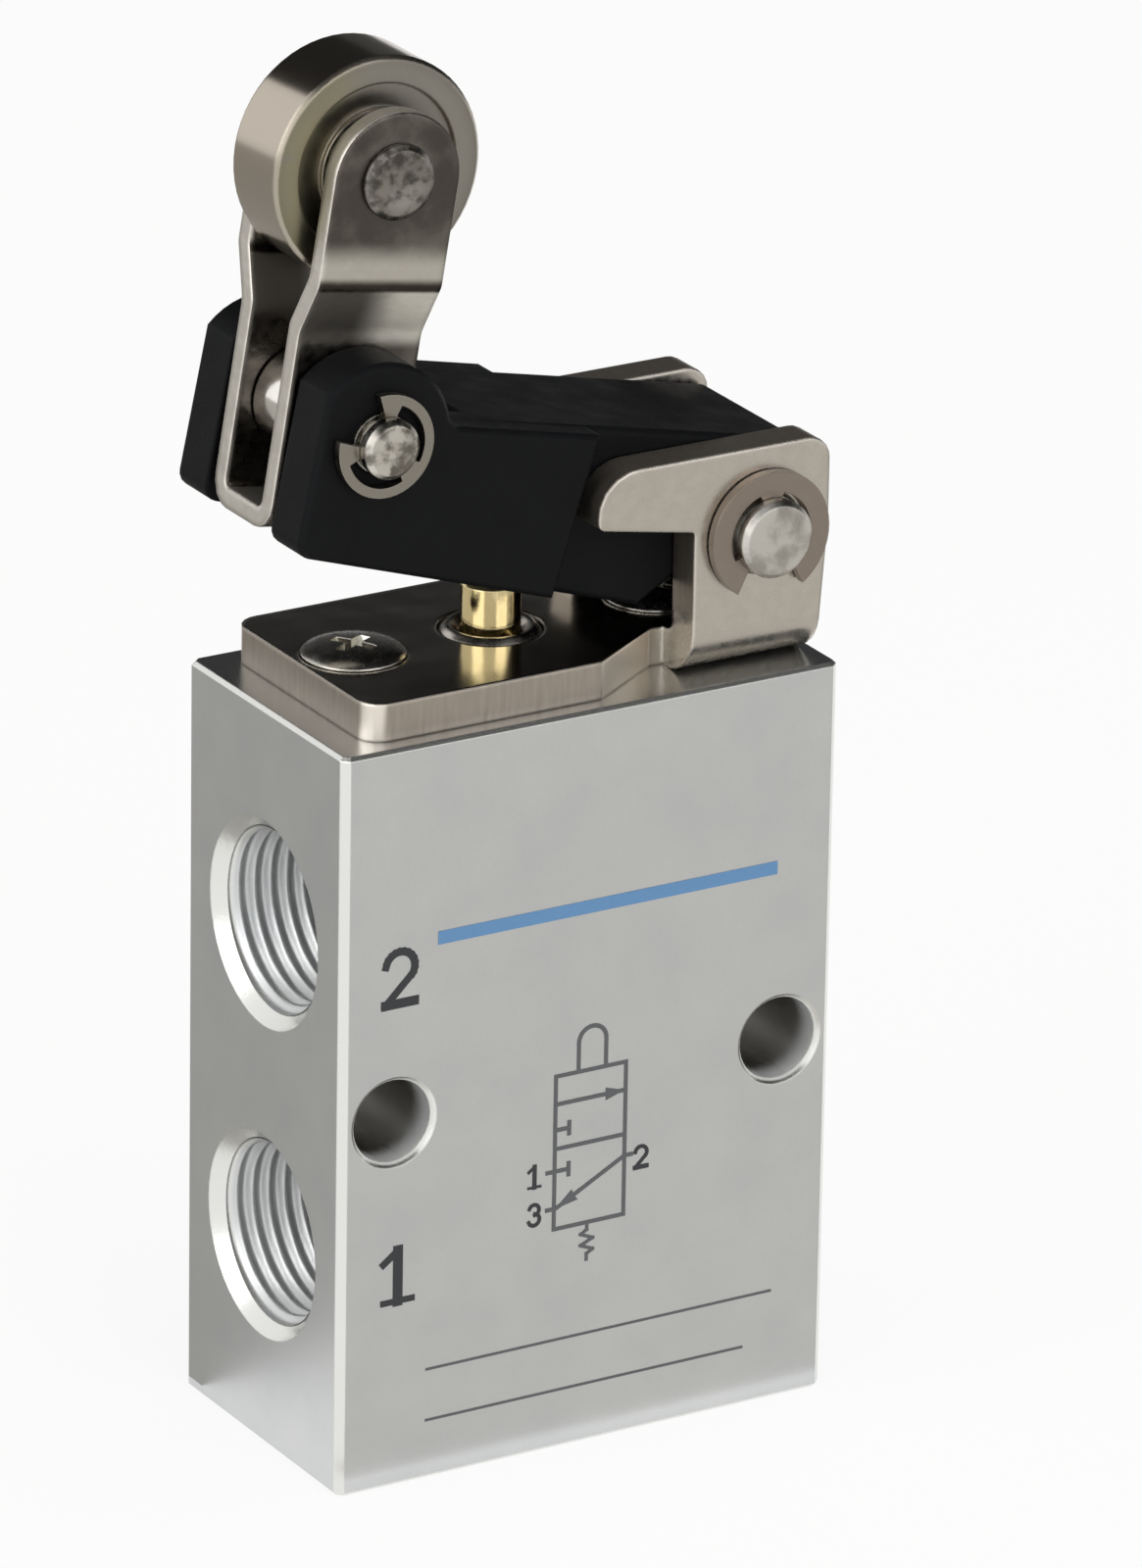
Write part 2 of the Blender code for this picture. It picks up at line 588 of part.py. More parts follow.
def lever_outlines():
    """Side views of the lever's wide part and of its whole length, boss round the arm pin."""
    deck_rise = 1.36 * MM
    leave = math.degrees(math.asin(deck_rise / BOSS_R))
    meet = 153.5
    boss = arc(ARM_PIN_X, ARM_PIN_Z, BOSS_R, leave + 6, meet, 16)
    plate = SHEET - PIVOT_RISE + 0.1 * MM
    deck = (ARM_PIN_X + BOSS_R + 0.2 * MM, ARM_PIN_Z + deck_rise)
    back = to_lever(HUB_R, HUB_R + 0.2 * MM)
    left = [
        (*deck, 0.4 * MM),
        *[(x, z, 0) for x, z in boss],
        (ARM_PIN_X - 2.68 * MM, LEVER_UNDERSIDE, 0.8 * MM),
    ]
    along = (SHOULDER_X - back[0]) / (deck[0] - back[0])
    wide = [(SHOULDER_X, back[1] + along * (deck[1] - back[1]) - 0.03 * MM, 0), *left, (SHOULDER_X, LEVER_UNDERSIDE, 0)]
    whole = [
        (*back, 0.5 * MM), *left, (-4.5 * MM, LEVER_UNDERSIDE, 0), (-2.9 * MM, -HUB_R, 0), (*to_lever(0.4 * MM, -HUB_R), 0),
        (*to_lever(1.0 * MM, plate), 0.2 * MM), (*to_lever(HUB_R, plate), 0.4 * MM),
    ]
    return rounded(wide, 4), rounded(whole, 4)


def make_lever(swing):
    wide, whole = lever_outlines()
    lever = rimmed("lever", whole, -TAIL_HALF_W, TAIL_HALF_W, MOULD_EDGE, swing, "black_moulding")
    boolean(lever, rimmed("join wide part", wide, -LEVER_HALF_W, LEVER_HALF_W, MOULD_EDGE, swing), "UNION")
    far = 30 * MM
    web = [strap_point(WEB_U, -12 * MM), strap_point(WEB_U, -1.55 * MM)]
    relief = strap_point(WEB_U, -1.55 * MM)
    slot = [*web, (relief[0] + 3.6 * MM, relief[1] + 3.6 * MM * math.tan(math.radians(49))), (-far, far), (-far, -far)]
    boolean(lever, prism("cut fork", slot, "y", -FORK_HALF_GAP, FORK_HALF_GAP, swing))
    for name, x, z, radius in (("lever", 0, 0, LEVER_PIN_R + RUNNING), ("arm", ARM_PIN_X, ARM_PIN_Z, ARM_PIN_R + SEAT)):
        bore = [(0, -BODY_T), (radius, -BODY_T), (radius, BODY_T), (0, BODY_T)]
        boolean(lever, lathe(f"cut {name} pin hole", bore, swing, None, (x, 0, z), NEAR, 32))
    return lever


def strap_point(u, v):
    """A point of the arm's rest frame, given along its width and length, in the lever's frame."""
    c, s = math.cos(ARM_LEAN), math.sin(ARM_LEAN)
    return (ARM_PIN_X + u * c + v * s, ARM_PIN_Z - u * s + v * c)


def make_arm(arm):
    """U-shaped strap whose legs step apart above the lever, holed for both pins."""
    low_out, low_in = STRAP_HALF_GAP + STRAP, STRAP_HALF_GAP
    high_out, high_in = STRAP_HALF_TOP + STRAP, STRAP_HALF_TOP
    top = ARM_LENGTH + STRAP_HALF_W + MM
    slope = math.atan2(high_out - low_out, JOGGLE_END - JOGGLE_START)
    lag = STRAP * math.tan(slope / 2)
    outer_leg = [(low_out, JOGGLE_START, 1.6 * MM), (high_out, JOGGLE_END, 0.9 * MM), (high_out, top, 0)]
    inner_leg = [(high_in, top, 0), (high_in, JOGGLE_END + lag, 1.6 * MM), (low_in, JOGGLE_START + lag, 0.9 * MM)]
    right = [(low_out, -STRAP_DROP, STRAP_CORNER_R), *outer_leg, *inner_leg]
    right.append((low_in, STRAP - STRAP_DROP, STRAP_CORNER_R - STRAP))
    section = rounded(right + [(-y, v, radius) for y, v, radius in reversed(right)], 4)
    wide = 10 * MM
    strap = prism("roller_arm", section, "x", -STRAP_HALF_W - MM, STRAP_HALF_W + MM, arm, "nickel_plated_steel")
    outline = [(STRAP_HALF_W, -wide), *arc(0, ARM_LENGTH, STRAP_HALF_W, 0, 180, 28), (-STRAP_HALF_W, -wide)]
    boolean(strap, prism("keep strap", outline, "y", -wide, wide, arm), "INTERSECT")
    for name, height, radius in (("arm", 0, ARM_PIN_R + RUNNING), ("axle", ARM_LENGTH, AXLE_R + SEAT)):
        bore = [(0, -wide), (radius, -wide), (radius, wide), (0, wide)]
        boolean(strap, lathe(f"cut {name} hole", bore, arm, None, (0, 0, height), NEAR, 32))
    outer = high_out + SEAT
    head = AXLE_R + RIVET_LIP
    end = [(head, outer), (head, outer + 0.2 * MM), (head - 0.3 * MM, outer + 0.42 * MM)]
    end += [(0.55 * head, outer + 0.42 * MM), (0.35 * head, outer + 0.25 * MM), (0, outer + 0.25 * MM)]
    axle = [(r, -h) for r, h in reversed(end)] + [(AXLE_R, -outer), (AXLE_R, outer)] + end
    at = (0, 0, ARM_LENGTH)
    lathe("roller_axle", axle, arm, "bright_steel", at, NEAR, 32)
    for name, turn in (("washer_near", 1), ("washer_far", -1)):
        low, high = sorted((turn * (ROLLER_HALF_W + SIDE), turn * (high_in - SIDE)))
        ring = [(AXLE_R + SEAT, low), (2 * AXLE_R, low), (2 * AXLE_R, high), (AXLE_R + SEAT, high)]
        lathe(name, ring, arm, "zinc_steel", at, NEAR, 20, True)


def make_roller(turning):
    rim, step = ROLLER_R - 1.35 * MM, 0.35 * MM
    bush = AXLE_R + RUNNING
    hub = bush + 0.8 * MM
    half = ROLLER_HALF_W
    edge = 0.2 * MM
    near = [(hub + 0.7 * MM, half), (hub + 0.7 * MM, half - step), (rim, half - step), (rim, half)]
    near += [(ROLLER_R - edge, half), (ROLLER_R, half - edge)]
    far = [(r, -h) for r, h in reversed(near)]
    lathe("roller", [(hub, half), *near, *far, (hub, -half)], turning, "bright_steel", (0, 0, 0), NEAR, 60, True)
    ring = [(bush, -half), (hub - SEAT, -half), (hub - SEAT, half), (bush, half)]
    lathe("roller_bush", ring, turning, "phosphor_bronze", (0, 0, 0), NEAR, 32, True)


def make_torsion_spring(seat):
    """Coils round the arm pin between the strap's legs: one leg to the web, one to the strap's bend."""
    wire_r = TORSION_WIRE_R
    radius = ARM_PIN_R + TORSION_COIL_GAP + wire_r
    half = STRAP_HALF_GAP - 0.3 * MM - wire_r
    coils, steps = 4.75, 12
    points = [(WEB_U - SIDE, -half, -radius)]
    total = int(coils * steps)
    for i in range(total + 1):
        angle = math.radians(-90) - 2 * math.pi * i / steps
        points.append((radius * math.cos(angle), -half + 2 * half * i / total, radius * math.sin(angle)))
    last, before = Vector(points[-1]), Vector(points[-2])
    points.append(tuple(last + (last - before).normalized() * TORSION_STUB))
    wire("torsion_spring", points, wire_r, seat, "spring_steel", 1)


def main():
    clear_scene()
    root = empty("valve_origin", (0, 0, 0))
    make_block(root)
    make_bush(root)
    make_bracket(root)
    make_screws(root)
    hinge = (PIVOT_X, 0, PIVOT_Z)
    headed_pin("lever_pin", LEVER_PIN_R, PLATE_HALF_W, LEVER_PIN_R + 0.8 * MM, 0.7 * MM, CLIP_T, root, hinge)
    low = PLATE_HALF_W + SIDE
    retaining_clip("lever_pin_clip", LEVER_PIN_R, LEVER_CLIP_R, LEVER_CLIP_BAND, low, 270, root, hinge)

    slider = empty("plunger_slide", (SPOOL_X, 0, 0), root)
    make_spool(slider)
    make_plunger(slider)
    make_return_spring(slider)

    swing = empty("lever_pivot", hinge, root, (0, LEVER_TILT, 0))
    make_lever(swing)
    pin = (ARM_PIN_X, 0, ARM_PIN_Z)
    headed_pin("arm_pin", ARM_PIN_R, LEVER_HALF_W, ARM_PIN_R + 0.6 * MM, 0.5 * MM, CLIP_T, swing, pin)
    low = LEVER_HALF_W + SIDE
    retaining_clip("arm_pin_clip", ARM_PIN_R, ARM_CLIP_R, ARM_CLIP_BAND, low, 150, swing, pin)

    make_torsion_spring(empty("spring_seat", pin, swing, (0, ARM_LEAN, 0)))
    arm = empty("arm_hinge", pin, swing, (0, ARM_LEAN, 0))
    make_arm(arm)
    make_roller(empty("roller_spin", (0, 0, ARM_LENGTH), arm))


main()
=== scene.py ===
# %% [markdown]
# # A roller lever air valve
# A small aluminium valve block with a stamped bracket on top. A black lever swings between the
# bracket's ears, presses a brass plunger, and carries a folding arm with a steel roller. The
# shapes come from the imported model, so this lesson is about finishes, threads, print and light.

import json
import math

import bmesh
import bpy
from mathutils import Matrix, Vector


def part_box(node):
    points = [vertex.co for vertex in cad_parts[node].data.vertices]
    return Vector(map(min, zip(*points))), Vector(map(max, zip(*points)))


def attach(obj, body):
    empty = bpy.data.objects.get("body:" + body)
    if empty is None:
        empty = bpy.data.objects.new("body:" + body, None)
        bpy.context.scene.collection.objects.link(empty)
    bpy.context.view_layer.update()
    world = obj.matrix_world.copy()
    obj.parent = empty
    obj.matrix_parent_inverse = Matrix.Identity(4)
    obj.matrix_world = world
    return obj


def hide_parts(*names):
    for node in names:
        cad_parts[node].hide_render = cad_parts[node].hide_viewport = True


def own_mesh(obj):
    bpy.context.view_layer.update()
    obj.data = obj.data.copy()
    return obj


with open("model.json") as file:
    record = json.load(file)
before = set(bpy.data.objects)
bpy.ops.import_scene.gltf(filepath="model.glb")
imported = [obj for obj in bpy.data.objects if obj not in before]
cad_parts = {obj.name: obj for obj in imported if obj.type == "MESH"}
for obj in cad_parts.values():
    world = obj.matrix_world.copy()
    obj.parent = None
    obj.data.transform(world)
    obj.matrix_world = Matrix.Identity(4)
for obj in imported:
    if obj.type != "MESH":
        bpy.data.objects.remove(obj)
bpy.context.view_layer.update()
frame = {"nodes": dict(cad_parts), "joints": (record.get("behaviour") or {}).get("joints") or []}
nodes = frame["nodes"]
MM = 0.001

# %% [markdown]
# The hinge points of the record are worth keeping by name. Turned faces have rings round them,
# so the finish of the roller needs to know where its axle is.

# %% Places on the valve
joints = {joint["name"]: joint for joint in frame["joints"]}
AXLE = Vector(joints["roller_spin"]["pos_m"])
ARM_PIN = Vector(joints["arm_hinge"]["pos_m"])
LEVER_PIN = Vector(joints["lever_pivot"]["pos_m"])
BLOCK_LOW, BLOCK_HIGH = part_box("valve_body")
FRONT = BLOCK_LOW.y
PORT_FACE = BLOCK_LOW.x
print("axle", AXLE, "front face y", FRONT)

# %% [markdown]
# ## Camera
# The picture was taken a little from the left and from above, with a long lens. The place of the
# camera was worked out from the block's own edges, so here it is built from those same numbers:
# the turn round the valve, the height angle, a slight roll and the distance.

# %% Camera
TURN, RISE, ROLL = math.radians(-31.02), math.radians(21.55), math.radians(0.99)
DISTANCE, SHIFT_RIGHT, SHIFT_DOWN = 0.559, 0.00284, 0.00236
SENSOR_WIDTH, FOCAL_LENGTH = 36, 261.1
MIDDLE = Vector((0, 0, 0.035))


def outward(turn, rise):
    """The direction away from the valve, at that turn round it and that height angle."""
    return Vector((math.sin(turn) * math.cos(rise), -math.cos(turn) * math.cos(rise), math.sin(rise)))


def placed(name, data):
    """A new object that holds this data, in the scene."""
    made = bpy.data.objects.new(name, data)
    bpy.context.scene.collection.objects.link(made)
    return made


back = outward(TURN, RISE)
level = Vector((math.cos(TURN), math.sin(TURN), 0))
above = back.cross(level)
right = level * math.cos(ROLL) + above * math.sin(ROLL)
up = above * math.cos(ROLL) - level * math.sin(ROLL)
seat = MIDDLE + back * DISTANCE + right * SHIFT_RIGHT - up * SHIFT_DOWN

lens = bpy.data.cameras.new("camera")
lens.sensor_width = SENSOR_WIDTH
lens.lens = FOCAL_LENGTH
lens.clip_start = 0.01
camera = placed("camera", lens)
camera.matrix_world = Matrix.Translation(seat) @ Matrix((right, up, back)).transposed().to_4x4()
bpy.context.scene.camera = camera
print("camera at", tuple(round(value, 4) for value in seat))

# %% [markdown]
# ## Helpers for finishes
# Every finish here is a small network of shader nodes. One function adds a node with its
# settings and links. Another turns the hex colours that painters use into the linear numbers
# that the renderer adds up. The long names of the nodes that come back often get short ones.

# %% Node and colour helpers
MATH, RANGE, MIX, BUMP = "ShaderNodeMath", "ShaderNodeMapRange", "ShaderNodeMix", "ShaderNodeBump"
NOISE, WAVE, BEVEL = "ShaderNodeTexNoise", "ShaderNodeTexWave", "ShaderNodeBevel"
VECTOR, PARTS, MAPPING = "ShaderNodeVectorMath", "ShaderNodeSeparateXYZ", "ShaderNodeMapping"
COLOURS = {"data_type": "RGBA"}


def hexed(code):
    """An sRGB hex colour as linear red, green, blue and alpha."""
    parts = [int(code[i : i + 2], 16) / 255 for i in (1, 3, 5)]
    return (*[p / 12.92 if p <= 0.04045 else ((p + 0.055) / 1.055) ** 2.4 for p in parts], 1.0)


def feed(node, inputs):
    """Sets inputs: each is a plain value, a hex colour, or a node or output to link."""
    for key, value in inputs.items():
        if isinstance(value, bpy.types.Node):
            value = next(output for output in value.outputs if output.enabled)
        if isinstance(value, bpy.types.NodeSocket):
            node.id_data.links.new(value, node.inputs[key])
        else:
            coloured = isinstance(value, str) and value.startswith("#")
            node.inputs[key].default_value = hexed(value) if coloured else value


def add(tree, kind, inputs=None, **settings):
    """Adds a node with its settings and its inputs."""
    made = tree.nodes.new(kind)
    for name, value in settings.items():
        setattr(made, name, value)
    feed(made, inputs or {})
    return made


def finish_named(name, base, metallic, roughness):
    """A new material with one shader, and the piece's own coordinates in millimetres."""
    made = bpy.data.materials.new(name)
    made.use_nodes = True
    tree = made.node_tree
    tree.nodes.clear()
    look = {"Base Color": base, "Metallic": metallic, "Roughness": roughness}
    shader = add(tree, "ShaderNodeBsdfPrincipled", look)
    add(tree, "ShaderNodeOutputMaterial", {"Surface": shader})
    own = add(tree, "ShaderNodeTexCoord").outputs["Object"]
    return made, tree, shader, add(tree, VECTOR, {0: own, "Scale": 1 / MM}, operation="SCALE")


def dress(material, *names):
    """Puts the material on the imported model's nodes of these names."""
    for name in names:
        mesh = nodes[name].data
        mesh.materials.clear()
        mesh.materials.append(material)
    print(material.name, "on", ", ".join(names))


print("middle grey in linear light", round(hexed("#808080")[0], 3))

# %% [markdown]
# ## Smooth turned faces
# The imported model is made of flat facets, but a turned or bent surface is smooth. Two modifiers
# mend that without touching the mesh: the first joins the corners and shades every edge under
# 28 degrees smooth, the second lets the large flat faces keep their own direction.

# %% Smooth shading
GENTLE = math.radians(28)
smoothing = bpy.data.node_groups.new("smooth_between_facets", "GeometryNodeTree")
smoothing.interface.new_socket("Geometry", in_out="INPUT", socket_type="NodeSocketGeometry")
smoothing.interface.new_socket("Geometry", in_out="OUTPUT", socket_type="NodeSocketGeometry")
source = add(smoothing, "NodeGroupInput")
bare = add(smoothing, "GeometryNodeRemoveAttribute", {"Geometry": source, "Name": "custom_normal"})
joined = add(smoothing, "GeometryNodeMergeByDistance", {"Geometry": bare, "Distance": 0.002 * MM})
bend = add(smoothing, "GeometryNodeInputMeshEdgeAngle").outputs["Unsigned Angle"]
gentle = add(smoothing, MATH, {0: bend, 1: GENTLE}, operation="LESS_THAN")
faces = add(smoothing, "GeometryNodeSetShadeSmooth", {"Geometry": joined, "Shade Smooth": True})
shading = {"Geometry": faces, "Shade Smooth": gentle}
edges = add(smoothing, "GeometryNodeSetShadeSmooth", shading, domain="EDGE")
add(smoothing, "NodeGroupOutput", {0: edges})
for node in nodes.values():
    node.modifiers.new("smooth_between_facets", "NODES").node_group = smoothing
    node.modifiers.new("flat_faces_first", "WEIGHTED_NORMAL").keep_sharp = True
print("smoothed", len(nodes), "nodes")

# %% [markdown]
# ## Where a finish belongs
# One stamped or machined piece has more than one finish: a cut edge isn't as bright as the sheet,
# and a milled face isn't as dull as an etched one. The piece's own coordinates and its own
# surface direction say which is which, so each mask is a few comparisons multiplied together.
# A noise texture stays mostly between 0.3 and 0.7, so that is the span that a finish stretches.

# %% Masks
SMOOTH = {"interpolation_type": "SMOOTHSTEP"}
NOISE_SPAN = {1: 0.3, 2: 0.7}


def facing(tree):
    """How far the surface faces along x, y and z, each from 0 to 1, whichever side it is on."""
    own = add(tree, "ShaderNodeTexCoord").outputs["Normal"]
    return add(tree, VECTOR, {0: own}, operation="ABSOLUTE")


# %% [markdown]
# ## Natural anodised aluminium
# The block is cut from extruded bar, etched and clear anodised. The etching leaves a silky grey
# with a fine grain, and the anodic layer is hard, so it shows almost no scratches. The grain
# could be painted, but a bump far smaller than a millimetre gives its soft glow from any side.
# The chamfers and port mouths were cut bright, and the end faces are milled almost to a mirror.

# %% Grain of the aluminium
# Nine etched grains to a millimetre, clouds some 3 mm wide, and lines 0.17 mm apart up the bar.
anodised, tree, shader, mm = finish_named("anodised_aluminium", "#D5D6D6", 1.0, 0.42)
grain = add(tree, NOISE, {"Vector": mm, "Scale": 9.0, "Detail": 3.0})
cloud = add(tree, NOISE, {"Vector": mm, "Scale": 0.3, "Detail": 4.0})
drawn = add(tree, MAPPING, {"Vector": mm, "Scale": (6.0, 6.0, 0.25)})
lines = add(tree, NOISE, {"Vector": drawn, "Scale": 1.0, "Detail": 3.0})
edge = add(tree, BEVEL, {"Radius": 0.1 * MM}, samples=4)
bump = add(tree, BUMP, {"Height": lines, "Distance": 0.004 * MM, "Normal": edge})
bump = add(tree, BUMP, {"Height": grain, "Distance": 0.006 * MM, "Normal": bump})
feed(shader, {"Normal": bump})
print("grain for", anodised.name)

# %% [markdown]
# The three facings add up to 1 on a flat side and to 1.4 on a chamfer, which finds the cut edges.
# They are cut only near the skin, so the block is measured from its middle as a cube of half
# width 1. The milled ends face straight up or down.

# %% Cut edges and milled ends
TO_CUBE = tuple(2 * MM / side for side in BLOCK_HIGH - BLOCK_LOW)
faced = facing(tree)
total = add(tree, VECTOR, {0: faced, 1: (1.0, 1.0, 1.0)}, operation="DOT_PRODUCT")
slanted = add(tree, RANGE, {0: total, 1: 1.12, 2: 1.3}, **SMOOTH)
cube = add(tree, VECTOR, {0: mm, 1: TO_CUBE, 2: (0.0, 0.0, -1.0)}, operation="MULTIPLY_ADD")
cube = add(tree, VECTOR, {0: cube}, operation="ABSOLUTE")
cube_x, cube_y, cube_z = add(tree, PARTS, {"Vector": cube}).outputs
outer = add(tree, MATH, {0: cube_x, 1: cube_y}, operation="MAXIMUM")
outer = add(tree, MATH, {0: outer, 1: cube_z}, operation="MAXIMUM")
near_skin = add(tree, RANGE, {0: outer, 1: 0.93, 2: 0.95}, **SMOOTH)
cut = add(tree, MATH, {0: slanted, 1: near_skin}, operation="MULTIPLY")
endward = add(tree, PARTS, {"Vector": faced}).outputs["Z"]
milled = add(tree, RANGE, {0: endward, 1: 0.9, 2: 0.97}, **SMOOTH)
print("one millimetre in the cube:", tuple(round(share, 3) for share in TO_CUBE))

# %% [markdown]
# The two bolt holes are mirror twins about the middle of the block, so distances without their
# sign serve both. Their walls are painted darker with depth, as painted shade, and near the mouths
# the anodic layer is cloudy, so there they scatter light as paint does.

# %% Bolt holes and finish
# The faces are 7.75 mm from the middle, so the spans of deep and mouth are depths below them.
HOLE_X, HOLE_Z, HOLE_RADIUS = 11.0, 19.5, 2.15
BRIGHT_CUT = 0.26
place = add(tree, VECTOR, {0: mm}, operation="ABSOLUTE")
across = add(tree, VECTOR, {0: place, 1: (HOLE_X, 0.0, HOLE_Z)}, operation="SUBTRACT")
across = add(tree, VECTOR, {0: across, 1: (1.0, 0.0, 1.0)}, operation="MULTIPLY")
reach = add(tree, VECTOR, {0: across}, operation="LENGTH")
in_hole = add(tree, RANGE, {0: reach, 1: HOLE_RADIUS + 0.15, 2: HOLE_RADIUS + 0.05}, **SMOOTH)
inward = add(tree, PARTS, {0: place}).outputs["Y"]
# Painted shade: the deeper a bolt hole's wall, the darker it is painted.
deep = add(tree, RANGE, {0: inward, 1: 7.4, 2: 4.6}, **SMOOTH)
painted_hole_shade = add(tree, MATH, {0: in_hole, 1: deep}, operation="MULTIPLY")
mouth = add(tree, RANGE, {0: inward, 1: 5.6, 2: 7.0}, **SMOOTH)
clouded = add(tree, MATH, {0: in_hole, 1: mouth}, operation="MULTIPLY")
metal = add(tree, RANGE, {0: clouded, 3: 1.0, 4: 0.3})
tone = add(tree, MIX, {0: cloud, 6: "#CDCFD1", 7: "#DBDCDA"}, **COLOURS)
tone = add(tree, MIX, {0: cut, 6: tone, 7: "#E6E6E2"}, **COLOURS)
# Painted shade in the bolt holes.
tone = add(tree, MIX, {0: painted_hole_shade, 6: tone, 7: "#B9B7B3"}, **COLOURS)
satin = add(tree, RANGE, {0: grain, **NOISE_SPAN, 3: 0.36, 4: 0.48})
satin = add(tree, MIX, {0: cut, 2: satin, 3: BRIGHT_CUT})
satin = add(tree, MIX, {0: milled, 2: satin, 3: BRIGHT_CUT})
feed(shader, {"Base Color": tone, "Metallic": metal, "Roughness": satin})
dress(anodised, "valve_body")

# %% [markdown]
# ## Nickel plated bracket
# The bracket is stamped from steel sheet, then nickel plated. Nickel is a warm, slightly yellow
# metal. The plate mirrors what is above it, a little waved by the press. A sheared edge keeps the
# upright streaks of the punch under the plating, so it is duller. The streaks could be modelled,
# but they are only some hundredths of a millimetre deep, so a stretched noise gives them.

# %% Sheared edges of the bracket
# The plate's edges are below its top and left of the ears. The ears' edges face away from y.
PLATE_TOP = 41.0
nickel, tree, shader, mm = finish_named("nickel_plated_sheet", "#CDC7BD", 1.0, 0.2)
place = add(tree, PARTS, {"Vector": mm}).outputs
face_x, face_y, face_z = add(tree, PARTS, {"Vector": facing(tree)}).outputs
below_top = add(tree, RANGE, {0: place["Z"], 1: PLATE_TOP + 0.06, 2: PLATE_TOP - 0.05}, **SMOOTH)
left_of_ears = add(tree, RANGE, {0: place["X"], 1: 6.0, 2: 5.4}, **SMOOTH)
not_upward = add(tree, RANGE, {0: face_z, 1: 0.6, 2: 0.4}, **SMOOTH)
plate_edge = add(tree, MATH, {0: below_top, 1: left_of_ears}, operation="MULTIPLY")
plate_edge = add(tree, MATH, {0: plate_edge, 1: not_upward}, operation="MULTIPLY")
above_bend = add(tree, RANGE, {0: place["Z"], 1: PLATE_TOP + 1.0, 2: PLATE_TOP + 1.6}, **SMOOTH)
not_sideways = add(tree, RANGE, {0: face_y, 1: 0.6, 2: 0.4}, **SMOOTH)
ear_edge = add(tree, MATH, {0: above_bend, 1: not_sideways}, operation="MULTIPLY")
sheared = add(tree, MATH, {0: plate_edge, 1: ear_edge}, operation="MAXIMUM")
print("plate top at", PLATE_TOP, "mm")

# %% [markdown]
# The corner of the plate is round, and where it turns from one side to the other it is painted
# lighter, as a painted highlight: there the facings along x and y are both large, so their
# product is the mask.

# %% Nickel plated sheet
# Waves some 3.5 mm long, worn patches of 0.6 mm, and shear streaks 0.3 mm wide and 3 mm tall.
slow = add(tree, NOISE, {"Vector": mm, "Scale": 0.28, "Detail": 1.0})
worn = add(tree, NOISE, {"Vector": mm, "Scale": 1.6, "Detail": 5.0})
upright = add(tree, MAPPING, {"Vector": mm, "Scale": (3.4, 3.4, 0.35)})
streak = add(tree, NOISE, {"Vector": upright, "Scale": 1.0, "Detail": 4.0})
tone = add(tree, MIX, {0: worn, 6: "#C6BFB5", 7: "#D0CBC2"}, **COLOURS)
edge_tone = add(tree, MIX, {0: streak, 6: "#9C9288", 7: "#BAB2A7"}, **COLOURS)
# Painted highlight on the round corner of the plate.
corner = add(tree, MATH, {0: face_x, 1: face_y}, operation="MULTIPLY")
corner = add(tree, RANGE, {0: corner, 1: 0.2, 2: 0.42}, **SMOOTH)
edge_tone = add(tree, MIX, {0: corner, 6: edge_tone, 7: "#E4DCD1"}, **COLOURS)
tone = add(tree, MIX, {0: sheared, 6: tone, 7: edge_tone}, **COLOURS)
upward = add(tree, RANGE, {0: face_z, 1: 0.8, 2: 0.95}, **SMOOTH)
polish = add(tree, RANGE, {0: worn, **NOISE_SPAN, 3: 0.2, 4: 0.34})
polish = add(tree, MIX, {0: upward, 2: polish, 3: 0.16})
polish = add(tree, MIX, {0: sheared, 2: polish, 3: 0.42})
edge = add(tree, BEVEL, {"Radius": 0.32 * MM}, samples=8)
bump = add(tree, BUMP, {"Height": slow, "Distance": 0.05 * MM, "Normal": edge})
torn = add(tree, MATH, {0: streak, 1: sheared}, operation="MULTIPLY")
bump = add(tree, BUMP, {"Height": torn, "Distance": 0.025 * MM, "Normal": bump})
feed(shader, {"Base Color": tone, "Roughness": polish, "Normal": bump})
dress(nickel, "bracket", "guide_bush")

# %% [markdown]
# ## The roller arm
# The arm is pressed from the same plated sheet, but it is handled, bent and oiled more, so it is
# darker and blotched. Its edges are coined round, and they and the bottom of the U are painted
# lighter as a painted highlight. The bend is painted light as a painted highlight, and the dark
# line of the crease under it is painted shade. The crease crosses the arm, so the mask needs the
# distance along the arm: the arm's own coordinates, turned by its lean.

# %% Bends of the strap
# Each mask starts and ends at a distance from the arm pin, in mm along the arm.
LEAN = math.atan2(AXLE.x - ARM_PIN.x, AXLE.z - ARM_PIN.z)
ARM_UP = Vector((math.sin(LEAN), 0.0, math.cos(LEAN)))
ARM_SIDE = Vector((ARM_UP.z, 0.0, -ARM_UP.x))
PIN_UP, PIN_SIDE = ARM_PIN.dot(ARM_UP) / MM, ARM_PIN.dot(ARM_SIDE) / MM
strap, tree, shader, mm = finish_named("oiled_nickel_strap", "#8D8881", 1.0, 0.3)
height = add(tree, VECTOR, {0: mm, 1: tuple(ARM_UP)}, operation="DOT_PRODUCT")
along = add(tree, MATH, {0: height, 1: PIN_UP}, operation="SUBTRACT")
bend_starts = add(tree, RANGE, {0: along, 1: 7.2, 2: 7.6}, **SMOOTH)
bend_ends = add(tree, RANGE, {0: along, 1: 9.4, 2: 8.0}, **SMOOTH)
# The bend is painted light, as a painted highlight.
painted_bend_highlight = add(tree, MATH, {0: bend_starts, 1: bend_ends}, operation="MULTIPLY")
crease_starts = add(tree, RANGE, {0: along, 1: 6.75, 2: 6.95}, **SMOOTH)
crease_ends = add(tree, RANGE, {0: along, 1: 7.3, 2: 7.1}, **SMOOTH)
